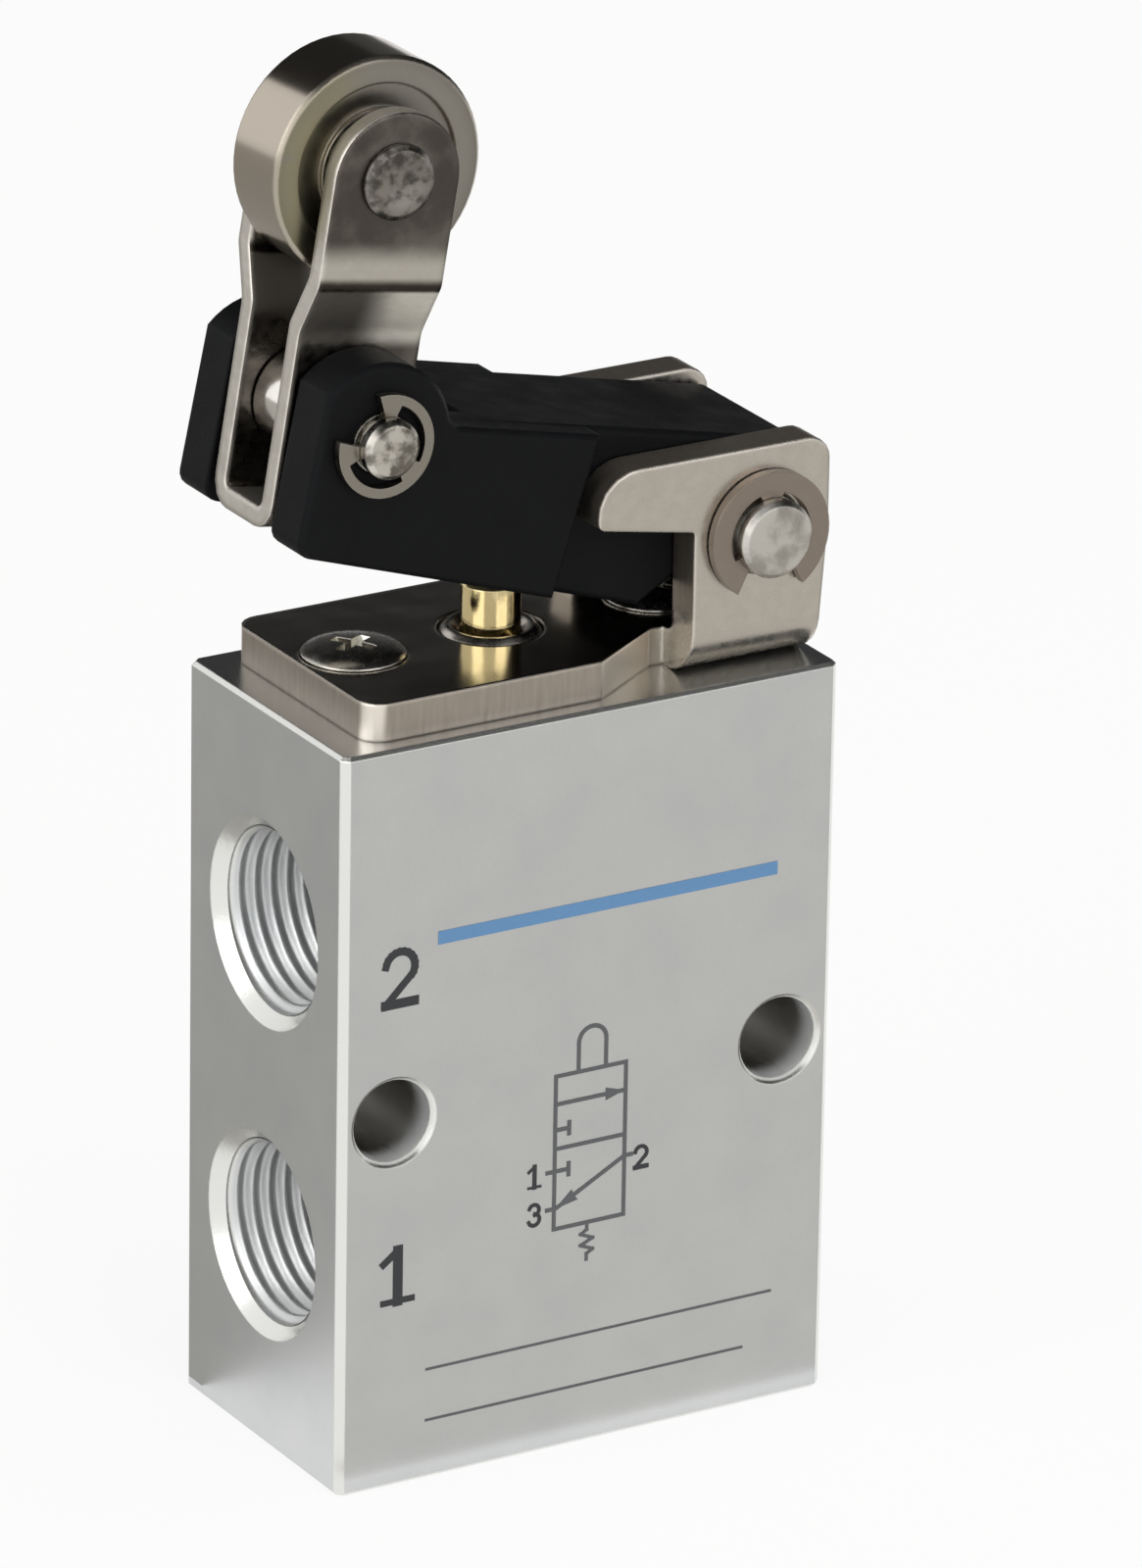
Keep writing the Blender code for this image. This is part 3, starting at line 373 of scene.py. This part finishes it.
# A dark line in the crease under the bend is painted shade.
painted_crease_shade = add(tree, MATH, {0: crease_starts, 1: crease_ends}, operation="MULTIPLY")
slope_ends = add(tree, RANGE, {0: along, 1: 6.9, 2: 6.7}, **SMOOTH)
slope_starts = add(tree, RANGE, {0: along, 1: 3.6, 2: 4.6}, **SMOOTH)
slope_with_painted_light = add(tree, MATH, {0: slope_ends, 1: slope_starts}, operation="MULTIPLY")
sideways = add(tree, VECTOR, {0: mm, 1: tuple(ARM_SIDE)}, operation="DOT_PRODUCT")
# Painted light: the slope is painted lighter towards one side of the arm.
painted_lit_side = add(tree, RANGE, {0: sideways, 1: PIN_SIDE - 0.8, 2: PIN_SIDE + 1.6}, **SMOOTH)
face_y = add(tree, PARTS, {"Vector": facing(tree)}).outputs["Y"]
# The edges and the bottom of the U, which are painted lighter below as a painted highlight.
sheared = add(tree, RANGE, {0: face_y, 1: 0.45, 2: 0.25}, **SMOOTH)
print("lean", round(math.degrees(LEAN), 2), "pin at", round(PIN_UP, 2), "mm up the arm's line")

# %% [markdown]
# The slope between the two bends is dull enough to look the same from every side, and it is
# painted dark on one side and nearly white on the other, as painted light. The oil gathers in
# blotches.

# %% Oiled nickel strap
# Blotches of oil some 2.4 mm wide, and specks of 0.4 mm.
blotch = add(tree, NOISE, {"Vector": mm, "Scale": 0.42, "Detail": 4.0})
speck = add(tree, NOISE, {"Vector": mm, "Scale": 2.4, "Detail": 5.0})
oiled = add(tree, RANGE, {0: blotch, 1: 0.35, 2: 0.65}, **SMOOTH)
# Painted light on the slope, dark on one side and nearly white on the other.
painted_slope_light = add(tree, MIX, {0: painted_lit_side, 6: "#6C6862", 7: "#F0ECE2"}, **COLOURS)
tone = add(tree, MIX, {0: oiled, 6: "#55504B", 7: "#726D66"}, **COLOURS)
tone = add(tree, MIX, {0: painted_bend_highlight, 6: tone, 7: "#C6C2B8"}, **COLOURS)
tone = add(tree, MIX, {0: painted_crease_shade, 6: tone, 7: "#3E3A36"}, **COLOURS)
tone = add(tree, MIX, {0: slope_with_painted_light, 6: tone, 7: painted_slope_light}, **COLOURS)
# Painted highlight on the strap's edges and the bottom of the U.
tone = add(tree, MIX, {0: sheared, 6: tone, 7: "#D8D3CA"}, **COLOURS)
dull = add(tree, RANGE, {0: speck, **NOISE_SPAN, 3: 0.24, 4: 0.38})
dull = add(tree, MIX, {0: slope_with_painted_light, 2: dull, 3: 0.62})
dull = add(tree, MIX, {0: sheared, 2: dull, 3: 0.4})
edge = add(tree, BEVEL, {"Radius": 0.42 * MM}, samples=8)
bump = add(tree, BUMP, {"Height": blotch, "Distance": 0.12 * MM, "Normal": edge})
bump = add(tree, BUMP, {"Height": speck, "Distance": 0.012 * MM, "Normal": bump})
feed(shader, {"Base Color": tone, "Roughness": dull, "Normal": bump})
dress(strap, "roller_arm")

# %% [markdown]
# ## Black moulding
# The lever is a glass filled nylon moulding: nearly black, dry to the touch, with a fine grain
# from the mould. It is not a metal, so its gloss is colourless and weak. The corners are soft.

# %% Black glass filled nylon
# A mould grain of 0.14 mm, and slow changes of tone some 2 mm wide.
black, tree, shader, mm = finish_named("black_moulding", "#0E0F11", 0.0, 0.5)
skin = add(tree, NOISE, {"Vector": mm, "Scale": 7.0, "Detail": 4.0})
patch = add(tree, NOISE, {"Vector": mm, "Scale": 0.5, "Detail": 3.0})
tone = add(tree, MIX, {0: patch, 6: "#0B0C0D", 7: "#131416"}, **COLOURS)
dry = add(tree, RANGE, {0: patch, **NOISE_SPAN, 3: 0.42, 4: 0.56})
edge = add(tree, BEVEL, {"Radius": 0.3 * MM}, samples=6)
bump = add(tree, BUMP, {"Height": skin, "Distance": 0.02 * MM, "Normal": edge})
feed(shader, {"IOR": 1.53, "Specular IOR Level": 0.09})
feed(shader, {"Base Color": tone, "Roughness": dry, "Normal": bump})
dress(black, "lever")

# %% [markdown]
# ## Turned steel
# Roller, pins and axle are turned and polished. A lathe tool leaves rings round the axis, and
# each ring is a tiny groove. They show as a soft fan of light on the flat ends. The rings need
# the distance from the axis, so each turned piece gets the same finish centred on its own axis.

# %% Turned steel
# A wave texture at scale 1 draws 20 / 2 pi rings to a unit, so these scales put the rings 1 mm
# apart on the pins and 3 mm apart on the roller. Real ones are 0.05 mm apart and wouldn't show.
PIN_RINGS, ROLLER_RINGS = 0.3125, 0.1


def tool_rings(tree, mm, centre, scale, wobble):
    """Rings about a line along y through the centre, and the place measured from there."""
    moved = add(tree, MAPPING, {"Vector": mm, "Location": tuple(-c / MM for c in centre)})
    waves = {"Vector": moved, "Scale": scale, "Distortion": wobble}
    rings = add(tree, WAVE, waves, wave_type="RINGS", rings_direction="Y")
    return rings.outputs["Fac"], moved


def turned_steel(name, dark, light, centre, roughness, spot_size=0.7):
    """Polished steel with tool rings about its own axis, and spots of that size in mm."""
    made, tree, shader, mm = finish_named(name, light, 1.0, roughness)
    rings = tool_rings(tree, mm, centre, PIN_RINGS, 0.6)[0]
    spots = add(tree, NOISE, {"Vector": mm, "Scale": 1 / spot_size, "Detail": 4.0})
    shade = add(tree, RANGE, {0: spots, 1: 0.35, 2: 0.6}, **SMOOTH)
    tone = add(tree, MIX, {0: shade, 6: dark, 7: light}, **COLOURS)
    polish = add(tree, RANGE, {0: spots, **NOISE_SPAN, 3: roughness * 0.7, 4: roughness * 1.5})
    edge = add(tree, BEVEL, {"Radius": 0.14 * MM}, samples=4)
    bump = add(tree, BUMP, {"Height": rings, "Distance": 0.006 * MM, "Normal": edge})
    feed(shader, {"Base Color": tone, "Roughness": polish, "Normal": bump})
    return made


dress(turned_steel("riveted_axle_steel", "#57534F", "#8F8A83", AXLE, 0.26), "roller_axle")
dress(turned_steel("oily_bush_bronze", "#4E4230", "#7C6A4C", AXLE, 0.3), "roller_bush")
dress(turned_steel("washer_steel", "#6B665C", "#9A958A", AXLE, 0.3), "washer_near", "washer_far")
dress(turned_steel("arm_pin_steel", "#77726A", "#D2CEC5", ARM_PIN, 0.24, 0.8), "arm_pin")
dress(turned_steel("lever_pin_steel", "#ACA8A1", "#D2CFC8", LEVER_PIN, 0.3, 1.2), "lever_pin")

# %% [markdown]
# ## The roller
# The roller runs on a cam, so its rim is polished bright by use, while its flat faces keep the
# rings of the tool, and on their left side a painted reflection tints them olive brown. Rim and
# faces are one piece, so a mask of the surface direction parts them.

# %% Roller steel
# The painted reflection lies in patches some 2 mm wide, and the same patches vary the faces' roughness.
RIM_TONE, RIM_POLISH = "#BDB3A6", 0.17
steel, tree, shader, mm = finish_named("cam_polished_roller_steel", RIM_TONE, 1.0, RIM_POLISH)
rings, moved = tool_rings(tree, mm, AXLE, ROLLER_RINGS, 1.2)
film = add(tree, NOISE, {"Vector": mm, "Scale": 0.5, "Detail": 4.0})
face_y = add(tree, PARTS, {"Vector": facing(tree)}).outputs["Y"]
flat_face = add(tree, RANGE, {0: face_y, 1: 0.6, 2: 0.85}, **SMOOTH)
sideways = add(tree, PARTS, {"Vector": moved}).outputs["X"]
sideways = add(tree, MATH, {0: sideways, 1: 0.9}, operation="ADD")
# Painted reflection: the left side of the flat faces is tinted olive brown.
left_side = add(tree, RANGE, {0: sideways, 1: 0.8, 2: -2.2}, **SMOOTH)
reflection_patches = add(tree, RANGE, {0: film, 1: 0.3, 2: 0.5}, **SMOOTH)
painted_left_reflection = add(tree, MATH, {0: left_side, 1: reflection_patches}, operation="MULTIPLY")
ringed = add(tree, MIX, {0: rings, 6: "#7C7872", 7: "#96928A"}, **COLOURS)
painted_reflection_tone = add(tree, MIX, {0: rings, 6: "#7A7664", 7: "#9A957E"}, **COLOURS)
# The ringed faces, tinted olive brown on the left as a painted reflection.
side_tone = add(tree, MIX, {0: painted_left_reflection, 6: ringed, 7: painted_reflection_tone}, **COLOURS)
tone = add(tree, MIX, {0: flat_face, 6: RIM_TONE, 7: side_tone}, **COLOURS)
side_polish = add(tree, RANGE, {0: film, **NOISE_SPAN, 3: 0.26, 4: 0.4})
polish = add(tree, MIX, {0: flat_face, 2: RIM_POLISH, 3: side_polish})
edge = add(tree, BEVEL, {"Radius": 0.2 * MM}, samples=6)
bump = add(tree, BUMP, {"Height": rings, "Distance": 0.02 * MM, "Normal": edge})
feed(shader, {"Base Color": tone, "Roughness": polish, "Normal": bump})
dress(steel, "roller")

# %% [markdown]
# ## Small hardware
# The clips are punched from spring steel. One is nickel bright and one has the brown of oil that
# was burnt on in tempering. Screws are zinc plated, and the plunger is turned brass.


# %% Small hardware
def plain_metal(name, base, smoothest, roughest, grain_size, depth):
    """A metal whose roughness and bump come from one grain of that size and depth in mm."""
    made, tree, shader, mm = finish_named(name, base, 1.0, smoothest)
    grain = add(tree, NOISE, {"Vector": mm, "Scale": 1 / grain_size, "Detail": 4.0})
    polish = add(tree, RANGE, {0: grain, **NOISE_SPAN, 3: smoothest, 4: roughest})
    edge = add(tree, BEVEL, {"Radius": 0.08 * MM}, samples=4)
    bump = add(tree, BUMP, {"Height": grain, "Distance": depth * MM, "Normal": edge})
    feed(shader, {"Roughness": polish, "Normal": bump})
    return made


dress(plain_metal("tempered_clip_steel", "#988D83", 0.26, 0.42, 0.5, 0.02), "lever_pin_clip")
dress(plain_metal("nickel_clip", "#989389", 0.22, 0.36, 0.5, 0.02), "arm_pin_clip")
zinc = plain_metal("zinc_plated_screw", "#CDCAC2", 0.2, 0.3, 0.5, 0.003)
dress(zinc, "bracket_screw_left", "bracket_screw_right")
dress(plain_metal("turned_brass", "#DCCC9C", 0.08, 0.16, 0.6, 0.01), "plunger")
dress(plain_metal("turned_aluminium", "#C8C9CA", 0.25, 0.35, 0.3, 0.01), "spool")
wire = plain_metal("drawn_spring_wire", "#C4C0B8", 0.2, 0.32, 0.3, 0.01)
dress(wire, "return_spring", "torsion_spring")

# %% [markdown]
# ## Return spring
# The spring stands on the floor of its bore and gets shorter when the plunger goes down. The
# imported model carries it with the plunger as one stiff piece, so a copy of the same coil stands
# on the valve here instead.

# %% Return spring
pressed = placed("pressed_return_spring", nodes["return_spring"].data.copy())
pressed.matrix_world = nodes["return_spring"].matrix_world.copy()
pressed.modifiers.new("smooth_between_facets", "NODES").node_group = smoothing
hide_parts("return_spring")
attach(pressed, "valve")
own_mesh(pressed)

# %% [markdown]
# ## Cover of the torsion spring
# Between the strap's legs the photo shows something smooth and bright round the arm pin, as wide
# as the gap. The model has the bare coils there, so a thin bent sheet goes over them, open below
# where the spring's legs come out. A full tube would need slots for those legs.

# %% Spring cover
# Radii and half width in mm, then where the sheet starts and how far it goes round, in degrees.
COVER_IN, COVER_OUT, COVER_HALF = 2.42, 2.62, 1.66
COVER_START, COVER_SWEEP, COVER_STEPS = 5, 205, 40


def mesh_from(name, shape):
    """Turns an edit mesh into a mesh."""
    mesh = bpy.data.meshes.new(name)
    shape.to_mesh(mesh)
    shape.free()
    return mesh


section = [(COVER_OUT, -COVER_HALF), (COVER_OUT, COVER_HALF), (COVER_IN, COVER_HALF), (COVER_IN, -COVER_HALF)]
bent = bmesh.new()
rows = []
for step in range(COVER_STEPS + 1):
    turn = math.radians(COVER_START + COVER_SWEEP * step / COVER_STEPS)
    ring = [Vector((r * math.cos(turn), y, r * math.sin(turn))) for r, y in section]
    rows.append([bent.verts.new(ARM_PIN + point * MM) for point in ring])
for before, after in zip(rows, rows[1:]):
    for i in range(4):
        wall = bent.faces.new((before[i], before[(i + 1) % 4], after[(i + 1) % 4], after[i]))
        wall.smooth = i in (0, 2)
bent.faces.new(rows[0])
bent.faces.new(rows[-1][::-1])
bmesh.ops.recalc_face_normals(bent, faces=bent.faces)
for corner in bent.edges:
    corner.smooth = corner.calc_face_angle(0) < GENTLE
cover = placed("spring_cover", mesh_from("spring_cover", bent))
cover.data.materials.append(plain_metal("polished_cover_sheet", "#F4F1EA", 0.1, 0.18, 0.6, 0.003))
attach(cover, "lever")
print("cover faces", len(cover.data.polygons), "radius", COVER_OUT)

# %% [markdown]
# ## Nitrile rubber
# The seals are black moulded rings. Rubber is dull and dark, with a faint bloom.

# %% Nitrile rubber
# The bloom comes in patches of half a millimetre.
rubber, tree, shader, mm = finish_named("nitrile_rubber", "#1A1A1A", 0.0, 0.6)
bloom = add(tree, NOISE, {"Vector": mm, "Scale": 2.0, "Detail": 3.0})
feed(shader, {"Roughness": add(tree, RANGE, {0: bloom, **NOISE_SPAN, 3: 0.5, 4: 0.75})})
dress(rubber, "spool_o_ring_low", "spool_o_ring_supply", "spool_o_ring_exhaust")

# %% [markdown]
# ## Port threads
# Each port is tapped with a fine pipe thread, one turn every 0.907 mm. A picture of lines would
# not catch light like a real groove, and a stack of rings would not run in a spiral, so the wall
# is a grid of points wound round the port whose radius follows the thread's own shape.

# %% Threads
# Radii and lengths in mm. The thread starts behind the chamfer of the port's mouth, and its first
# and last half millimetre run out to nothing.
PITCH, CREST, ROOT = 0.907, 4.28, 4.73
FLANK_SLOPE, ROOT_SHARE = 2.6, 0.35
THREAD_START, THREAD_LENGTH, RUN_OUT = 0.62, 6.6, 0.5
AROUND, PER_TURN = 72, 10
SUPPLY_HEIGHT, OUTLET_HEIGHT = 11.2 * MM, 27.8 * MM


def thread_radius(turns):
    """Distance from the port's axis after so many turns along the wall, in mm."""
    to_crest = 0.5 - abs(turns % 1.0 - 0.5)
    rise = min(max(to_crest * FLANK_SLOPE - ROOT_SHARE, 0.0), 1.0)
    return ROOT - (ROOT - CREST) * rise


def port_thread(name, height):
    """Threaded wall along +X from the port face, centred at that height."""
    wall = bmesh.new()
    rows = []
    for k in range(int(THREAD_LENGTH / PITCH * PER_TURN) + 1):
        along = k * PITCH / PER_TURN
        fade = max(min(along / RUN_OUT, (THREAD_LENGTH - along) / RUN_OUT, 1.0), 0.0)
        x = PORT_FACE + (THREAD_START + along) * MM
        row = []
        for i in range(AROUND):
            angle = 2 * math.pi * i / AROUND
            radius = ROOT - (ROOT - thread_radius(along / PITCH + i / AROUND)) * fade
            y, z = radius * math.cos(angle), radius * math.sin(angle)
            row.append(wall.verts.new((x, y * MM, height + z * MM)))
        rows.append(row)
    for low, high in zip(rows, rows[1:]):
        for i in range(AROUND):
            j = (i + 1) % AROUND
            wall.faces.new((low[i], low[j], high[j], high[i]))
    made = placed(name, mesh_from(name, wall))
    made.data.shade_smooth()
    made.data.materials.append(anodised)
    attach(made, "valve")
    print(name, "faces", len(made.data.polygons))


port_thread("supply_thread", SUPPLY_HEIGHT)
port_thread("outlet_thread", OUTLET_HEIGHT)

# %% [markdown]
# ## Printing on the front face
# The front carries screen printed marks: the port numbers, the symbol of the valve and a blue
# rule. Ink lies on the metal as a film of one or two hundredths of a millimetre. It could be
# masked in the aluminium's finish, but thin strips of their own stay sharp at any distance.


# %% Ink
def ink_named(name, tone):
    """A matt screen ink, a little uneven in patches of a quarter of a millimetre."""
    made, tree, shader, mm = finish_named(name, tone, 0.0, 0.45)
    blotch = add(tree, NOISE, {"Vector": mm, "Scale": 4.0, "Detail": 3.0})
    feed(shader, {"Roughness": add(tree, RANGE, {0: blotch, **NOISE_SPAN, 3: 0.4, 4: 0.6})})
    return made


black_ink = ink_named("black_screen_ink", "#2E3033")
grey_ink = ink_named("thin_grey_ink", "#5A5C5E")
blue_ink = ink_named("blue_screen_ink", "#5E8DBB")
print("inks:", black_ink.name, grey_ink.name, blue_ink.name)

# %% [markdown]
# A mark is a list of strips with four corners, in mm on the front face. Where two strips overlap
# in one plane, the renderer can't tell which is in front, so each lies a hair above the last.

# %% Printed strips
FILM, LAYER = 0.015 * MM, 0.0002 * MM


def printed(name, strips, material):
    """A piece made of flat strips of ink."""
    film = bmesh.new()
    for count, strip in enumerate(strips):
        raised = FRONT - FILM - count * LAYER
        film.faces.new([film.verts.new((x * MM, raised, z * MM)) for x, z in strip])
    made = placed(name, mesh_from(name, film))
    made.data.materials.append(material)
    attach(made, "valve")
    print(name, "strips", len(strips))


def stroke(points, width):
    """A line of that width through the points, as strips that overlap at the corners."""
    strips = []
    for (x0, z0), (x1, z1) in zip(points, points[1:]):
        length = math.hypot(x1 - x0, z1 - z0)
        ux, uz = (x1 - x0) / length * width / 2, (z1 - z0) / length * width / 2
        strips.append([
            (x0 - ux - uz, z0 - uz + ux), (x0 - ux + uz, z0 - uz - ux),
            (x1 + ux + uz, z1 + uz - ux), (x1 + ux - uz, z1 + uz + ux),
        ])
    return strips


def bow(cx, cz, radius, start, end, steps=12):
    """Points along an arc about a centre, from one angle to another in degrees."""
    turns = [math.radians(start + (end - start) * i / steps) for i in range(steps + 1)]
    return [(cx + radius * math.cos(t), cz + radius * math.sin(t)) for t in turns]


# %% [markdown]
# The symbol is the usual one for such a valve: two boxes for its two positions, arrows for the
# flow, short bars for a closed port, a plunger's arch above and a spring below.

# %% Valve symbol
# The boxes' sides, then the heights of the closed ports, the outlet, the exhaust and the through
# flow, then the legs of the arch and where it springs from. All in mm.
LINE = 0.22
left, side, top, middle, foot = -1.86, 2.14, 20.08, 16.2, 11.9
closed_high, closed_low, outlet, exhaust, through = 17.2, 15.0, 15.05, 13.0, 18.58
arch_left, arch_right, spring_line = -0.58, 0.98, 21.6
arch = bow(0.2, spring_line, 0.78, 180, 0)
coil = [(0.05, foot), (0.05, 11.5), (-0.3, 11.3), (0.4, 11.0), (-0.3, 10.7)]
coil += [(0.4, 10.4), (0.05, 10.2), (0.05, 9.9)]

symbol = stroke([(left, top), (side, top), (side, foot), (left, foot), (left, top)], LINE)
symbol += stroke([(left, middle), (side, middle)], LINE)
symbol += stroke([(arch_left, top), (arch_left, spring_line), *arch, (arch_right, top)], LINE)
symbol += stroke([(left, through), (side, through)], LINE)
symbol += [[(2.05, through), (1.0, 18.92), (1.0, through), (1.0, 18.24)]]
for height in (closed_high, closed_low):
    symbol += stroke([(left, height), (left + 0.8, height)], LINE)
    symbol += stroke([(left + 0.8, height - 0.3), (left + 0.8, height + 0.3)], LINE)
symbol += stroke([(side, outlet), (left + 0.1, exhaust)], LINE)
symbol += [[(-1.76, exhaust), (-0.85, 13.85), (-0.75, 13.55), (-0.5, 13.25)]]
symbol += stroke([(side, outlet), (side + 0.4, outlet)], LINE)
symbol += stroke([(left, closed_low), (left - 0.4, closed_low)], LINE)
symbol += stroke([(left, exhaust), (left - 0.4, exhaust)], LINE)
symbol += stroke(coil, LINE * 0.8)
printed("valve_symbol", symbol, grey_ink)

# %% [markdown]
# The ports are told apart by plain numbers, 1 for the supply and 2 for the outlet. The strokes of
# a printed numeral are thicker down than across.


# %% Port numbers
def numeral(figure, cx, cz, tall, thick):
    """The strips of a plain 1, 2 or 3, centred there, that many mm tall."""
    half, wide = tall / 2, tall * 0.3
    if figure == 1:
        strips = stroke([(cx, cz - half), (cx, cz + half)], thick)
        strips += stroke([(cx, cz + half), (cx - wide, cz + half * 0.55)], thick * 0.7)
        strips += stroke([(cx - wide, cz - half), (cx + wide, cz - half)], thick * 0.6)
    elif figure == 2:
        head = bow(cx, cz + half - wide, wide, 170, -35)
        strips = stroke([*head, (cx - wide, cz - half)], thick * 0.8)
        strips += stroke([(cx - wide, cz - half), (cx + wide, cz - half)], thick)
    else:
        curve = wide * 0.85
        strips = stroke(bow(cx, cz + half - curve, curve, 160, -80), thick * 0.8)
        strips += stroke(bow(cx, cz - half + curve * 1.1, curve * 1.1, 80, -160), thick * 0.8)
    return strips


TALL, SMALL, SMALL_LINE = 2.7, 1.1, 0.24
marks = numeral(2, -10.75, 27.1, TALL, 0.5) + numeral(1, -10.7, 11.3, TALL, 0.55)
marks += numeral(1, -3.0, 14.95, SMALL, SMALL_LINE) + numeral(3, -3.0, 12.9, SMALL, SMALL_LINE)
marks += numeral(2, 3.1, 14.8, SMALL, SMALL_LINE)
printed("port_numbers", marks, black_ink)

# %% [markdown]
# A plain blue rule above the symbol and two thin grey ones at the foot fill the rest of the face.

# %% Plain rules
BROAD, FINE = 0.7, 0.14
printed("blue_rule", stroke([(-8.3, 28.75), (10.3, 28.75)], BROAD), blue_ink)
blank_lines = stroke([(-9.0, 5.9), (10.8, 5.9)], FINE) + stroke([(-9.0, 3.15), (9.2, 3.15)], FINE)
printed("blank_rating_lines", blank_lines, grey_ink)

# %% [markdown]
# ## Studio
# A product like this is shot on pale paper inside a bright tent. Shiny metal has no colour of
# its own, so a photographer stands flags round it: a black ceiling and a black screen behind on
# the right darken what the flat top of the plate mirrors, and two grey cards lie on the table
# for the upright faces. The flags are only for reflections: hidden from the camera, no shadow.

# %% Paper and cards
BLACK, FLAG_BLACK = "#000000", "#0C0C0C"


def paper_named(name, tone, glow=BLACK):
    """Dull paper of one tone, that may glow evenly."""
    made, tree, shader, mm = finish_named(name, tone, 0.0, 0.9)
    feed(shader, {"Specular IOR Level": 0.1, "Emission Color": glow, "Emission Strength": 1.0})
    return made, tree, shader, mm


def card(name, corners, paper):
    """A flat card through four corners in metres."""
    flat = bmesh.new()
    flat.faces.new([flat.verts.new(corner) for corner in corners])
    sheet = placed(name, mesh_from(name, flat))
    sheet.data.materials.append(paper)
    print(name, "at", corners[0])
    return sheet


def table(x0, x1, y0, y1, z):
    """The corners of a level rectangle."""
    return [(x0, y0, z), (x1, y0, z), (x1, y1, z), (x0, y1, z)]


def shown_ray(tree):
    """1 for what the eye sees straight, in a mirror or through glass."""
    ray = add(tree, "ShaderNodeLightPath").outputs
    shown = add(tree, MATH, {0: ray["Is Camera Ray"], 1: ray["Is Glossy Ray"]}, operation="MAXIMUM")
    return add(tree, MATH, {0: shown, 1: ray["Is Transmission Ray"]}, operation="MAXIMUM")


# %% [markdown]
# The paper is lit by the lamps, so the valve's shadow falls on it, and a share of plain white is
# laid over it for the eye and for mirrors, so that it blends into the white behind.

# %% Floor
# Paper fibre is far too fine to show, so its dullness changes in patches of 20 mm.
WHITE_SHARE = 0.86
pale_paper, tree, shader, mm = paper_named("pale_paper", "#F4F4F2")
fibre = add(tree, NOISE, {"Vector": mm, "Scale": 0.05, "Detail": 3.0})
feed(shader, {"Roughness": add(tree, RANGE, {0: fibre, **NOISE_SPAN, 3: 0.85, 4: 0.95})})
white = add(tree, "ShaderNodeEmission", {"Color": "#FFFFFF", "Strength": 1.0})
share = add(tree, MATH, {0: shown_ray(tree), 1: WHITE_SHARE}, operation="MULTIPLY")
lit = add(tree, "ShaderNodeMixShader", {0: share, 1: shader, 2: white})
feed(tree.nodes["Material Output"], {"Surface": lit})
card("pale_paper", table(-3, 3, -3, 3, 0), pale_paper)

# %% [markdown]
# Each flag glows evenly, as cloth in a bright tent does. The glow is the tone that metal mirrors:
# dark for the two black flags, pale grey for the two cards on the table.


# %% Flags
def flag(name, corners, tone, glow):
    """A card that only mirrors see."""
    sheet = card(name, corners, paper_named(name, tone, glow)[0])
    sheet.visible_camera = False
    sheet.visible_diffuse = False
    sheet.visible_shadow = False


screen = [(-0.1, 1.9, 0.0), (2.1, 0.3, 0.0), (2.1, 0.3, 1.2), (-0.1, 1.9, 1.2)]
flag("black_ceiling", table(-0.28, 3.0, -0.9, 3.0, 0.55), FLAG_BLACK, "#242424")
flag("black_screen", screen, FLAG_BLACK, "#4C4C4C")
flag("grey_card_front", table(-0.016, 0.7, -0.7, -0.0085, 0.0006), BLACK, "#D2D0CC")
flag("grey_card_back", table(-0.7, 0.004, 0.006, 0.7, 0.0006), BLACK, "#A6A4A0")

# %% [markdown]
# The world is white to the eye and in reflections, and a softer grey as a source of light, so
# that the lamps can still shape the object.

# %% World
world = bpy.data.worlds.new("tent")
bpy.context.scene.world = world
world.use_nodes = True
tree = world.node_tree
tree.nodes.clear()
soft = add(tree, "ShaderNodeBackground", {"Color": "#FFFFFF", "Strength": 0.5})
white = add(tree, "ShaderNodeBackground", {"Color": "#FFFFFF", "Strength": 1.0})
mixed = add(tree, "ShaderNodeMixShader", {0: shown_ray(tree), 1: soft, 2: white})
add(tree, "ShaderNodeOutputWorld", {"Surface": mixed})
print("world", world.name)

# %% [markdown]
# Three soft boxes light the valve: one low on the left for the port face, one in front of the
# printed face, and one high on the right for the top.


# %% Lamps
def lamp(name, turn, rise, distance, size, watts):
    """A soft box that looks at the middle of the valve, at angles in degrees."""
    made = bpy.data.lights.new(name, "AREA")
    made.shape = "SQUARE"
    made.size = size
    made.energy = watts
    away = outward(math.radians(turn), math.radians(rise))
    holder = placed(name, made)
    holder.location = MIDDLE + away * distance
    holder.rotation_euler = away.to_track_quat("Z", "Y").to_euler()
    print(name, watts, "W")


lamp("left_box", -80, 28, 0.6, 0.45, 1.0)
lamp("front_box", 10, 38, 0.7, 0.5, 1.3)
lamp("top_box", 60, 75, 0.7, 0.5, 1.2)
bpy.context.scene.view_settings.view_transform = "Standard"
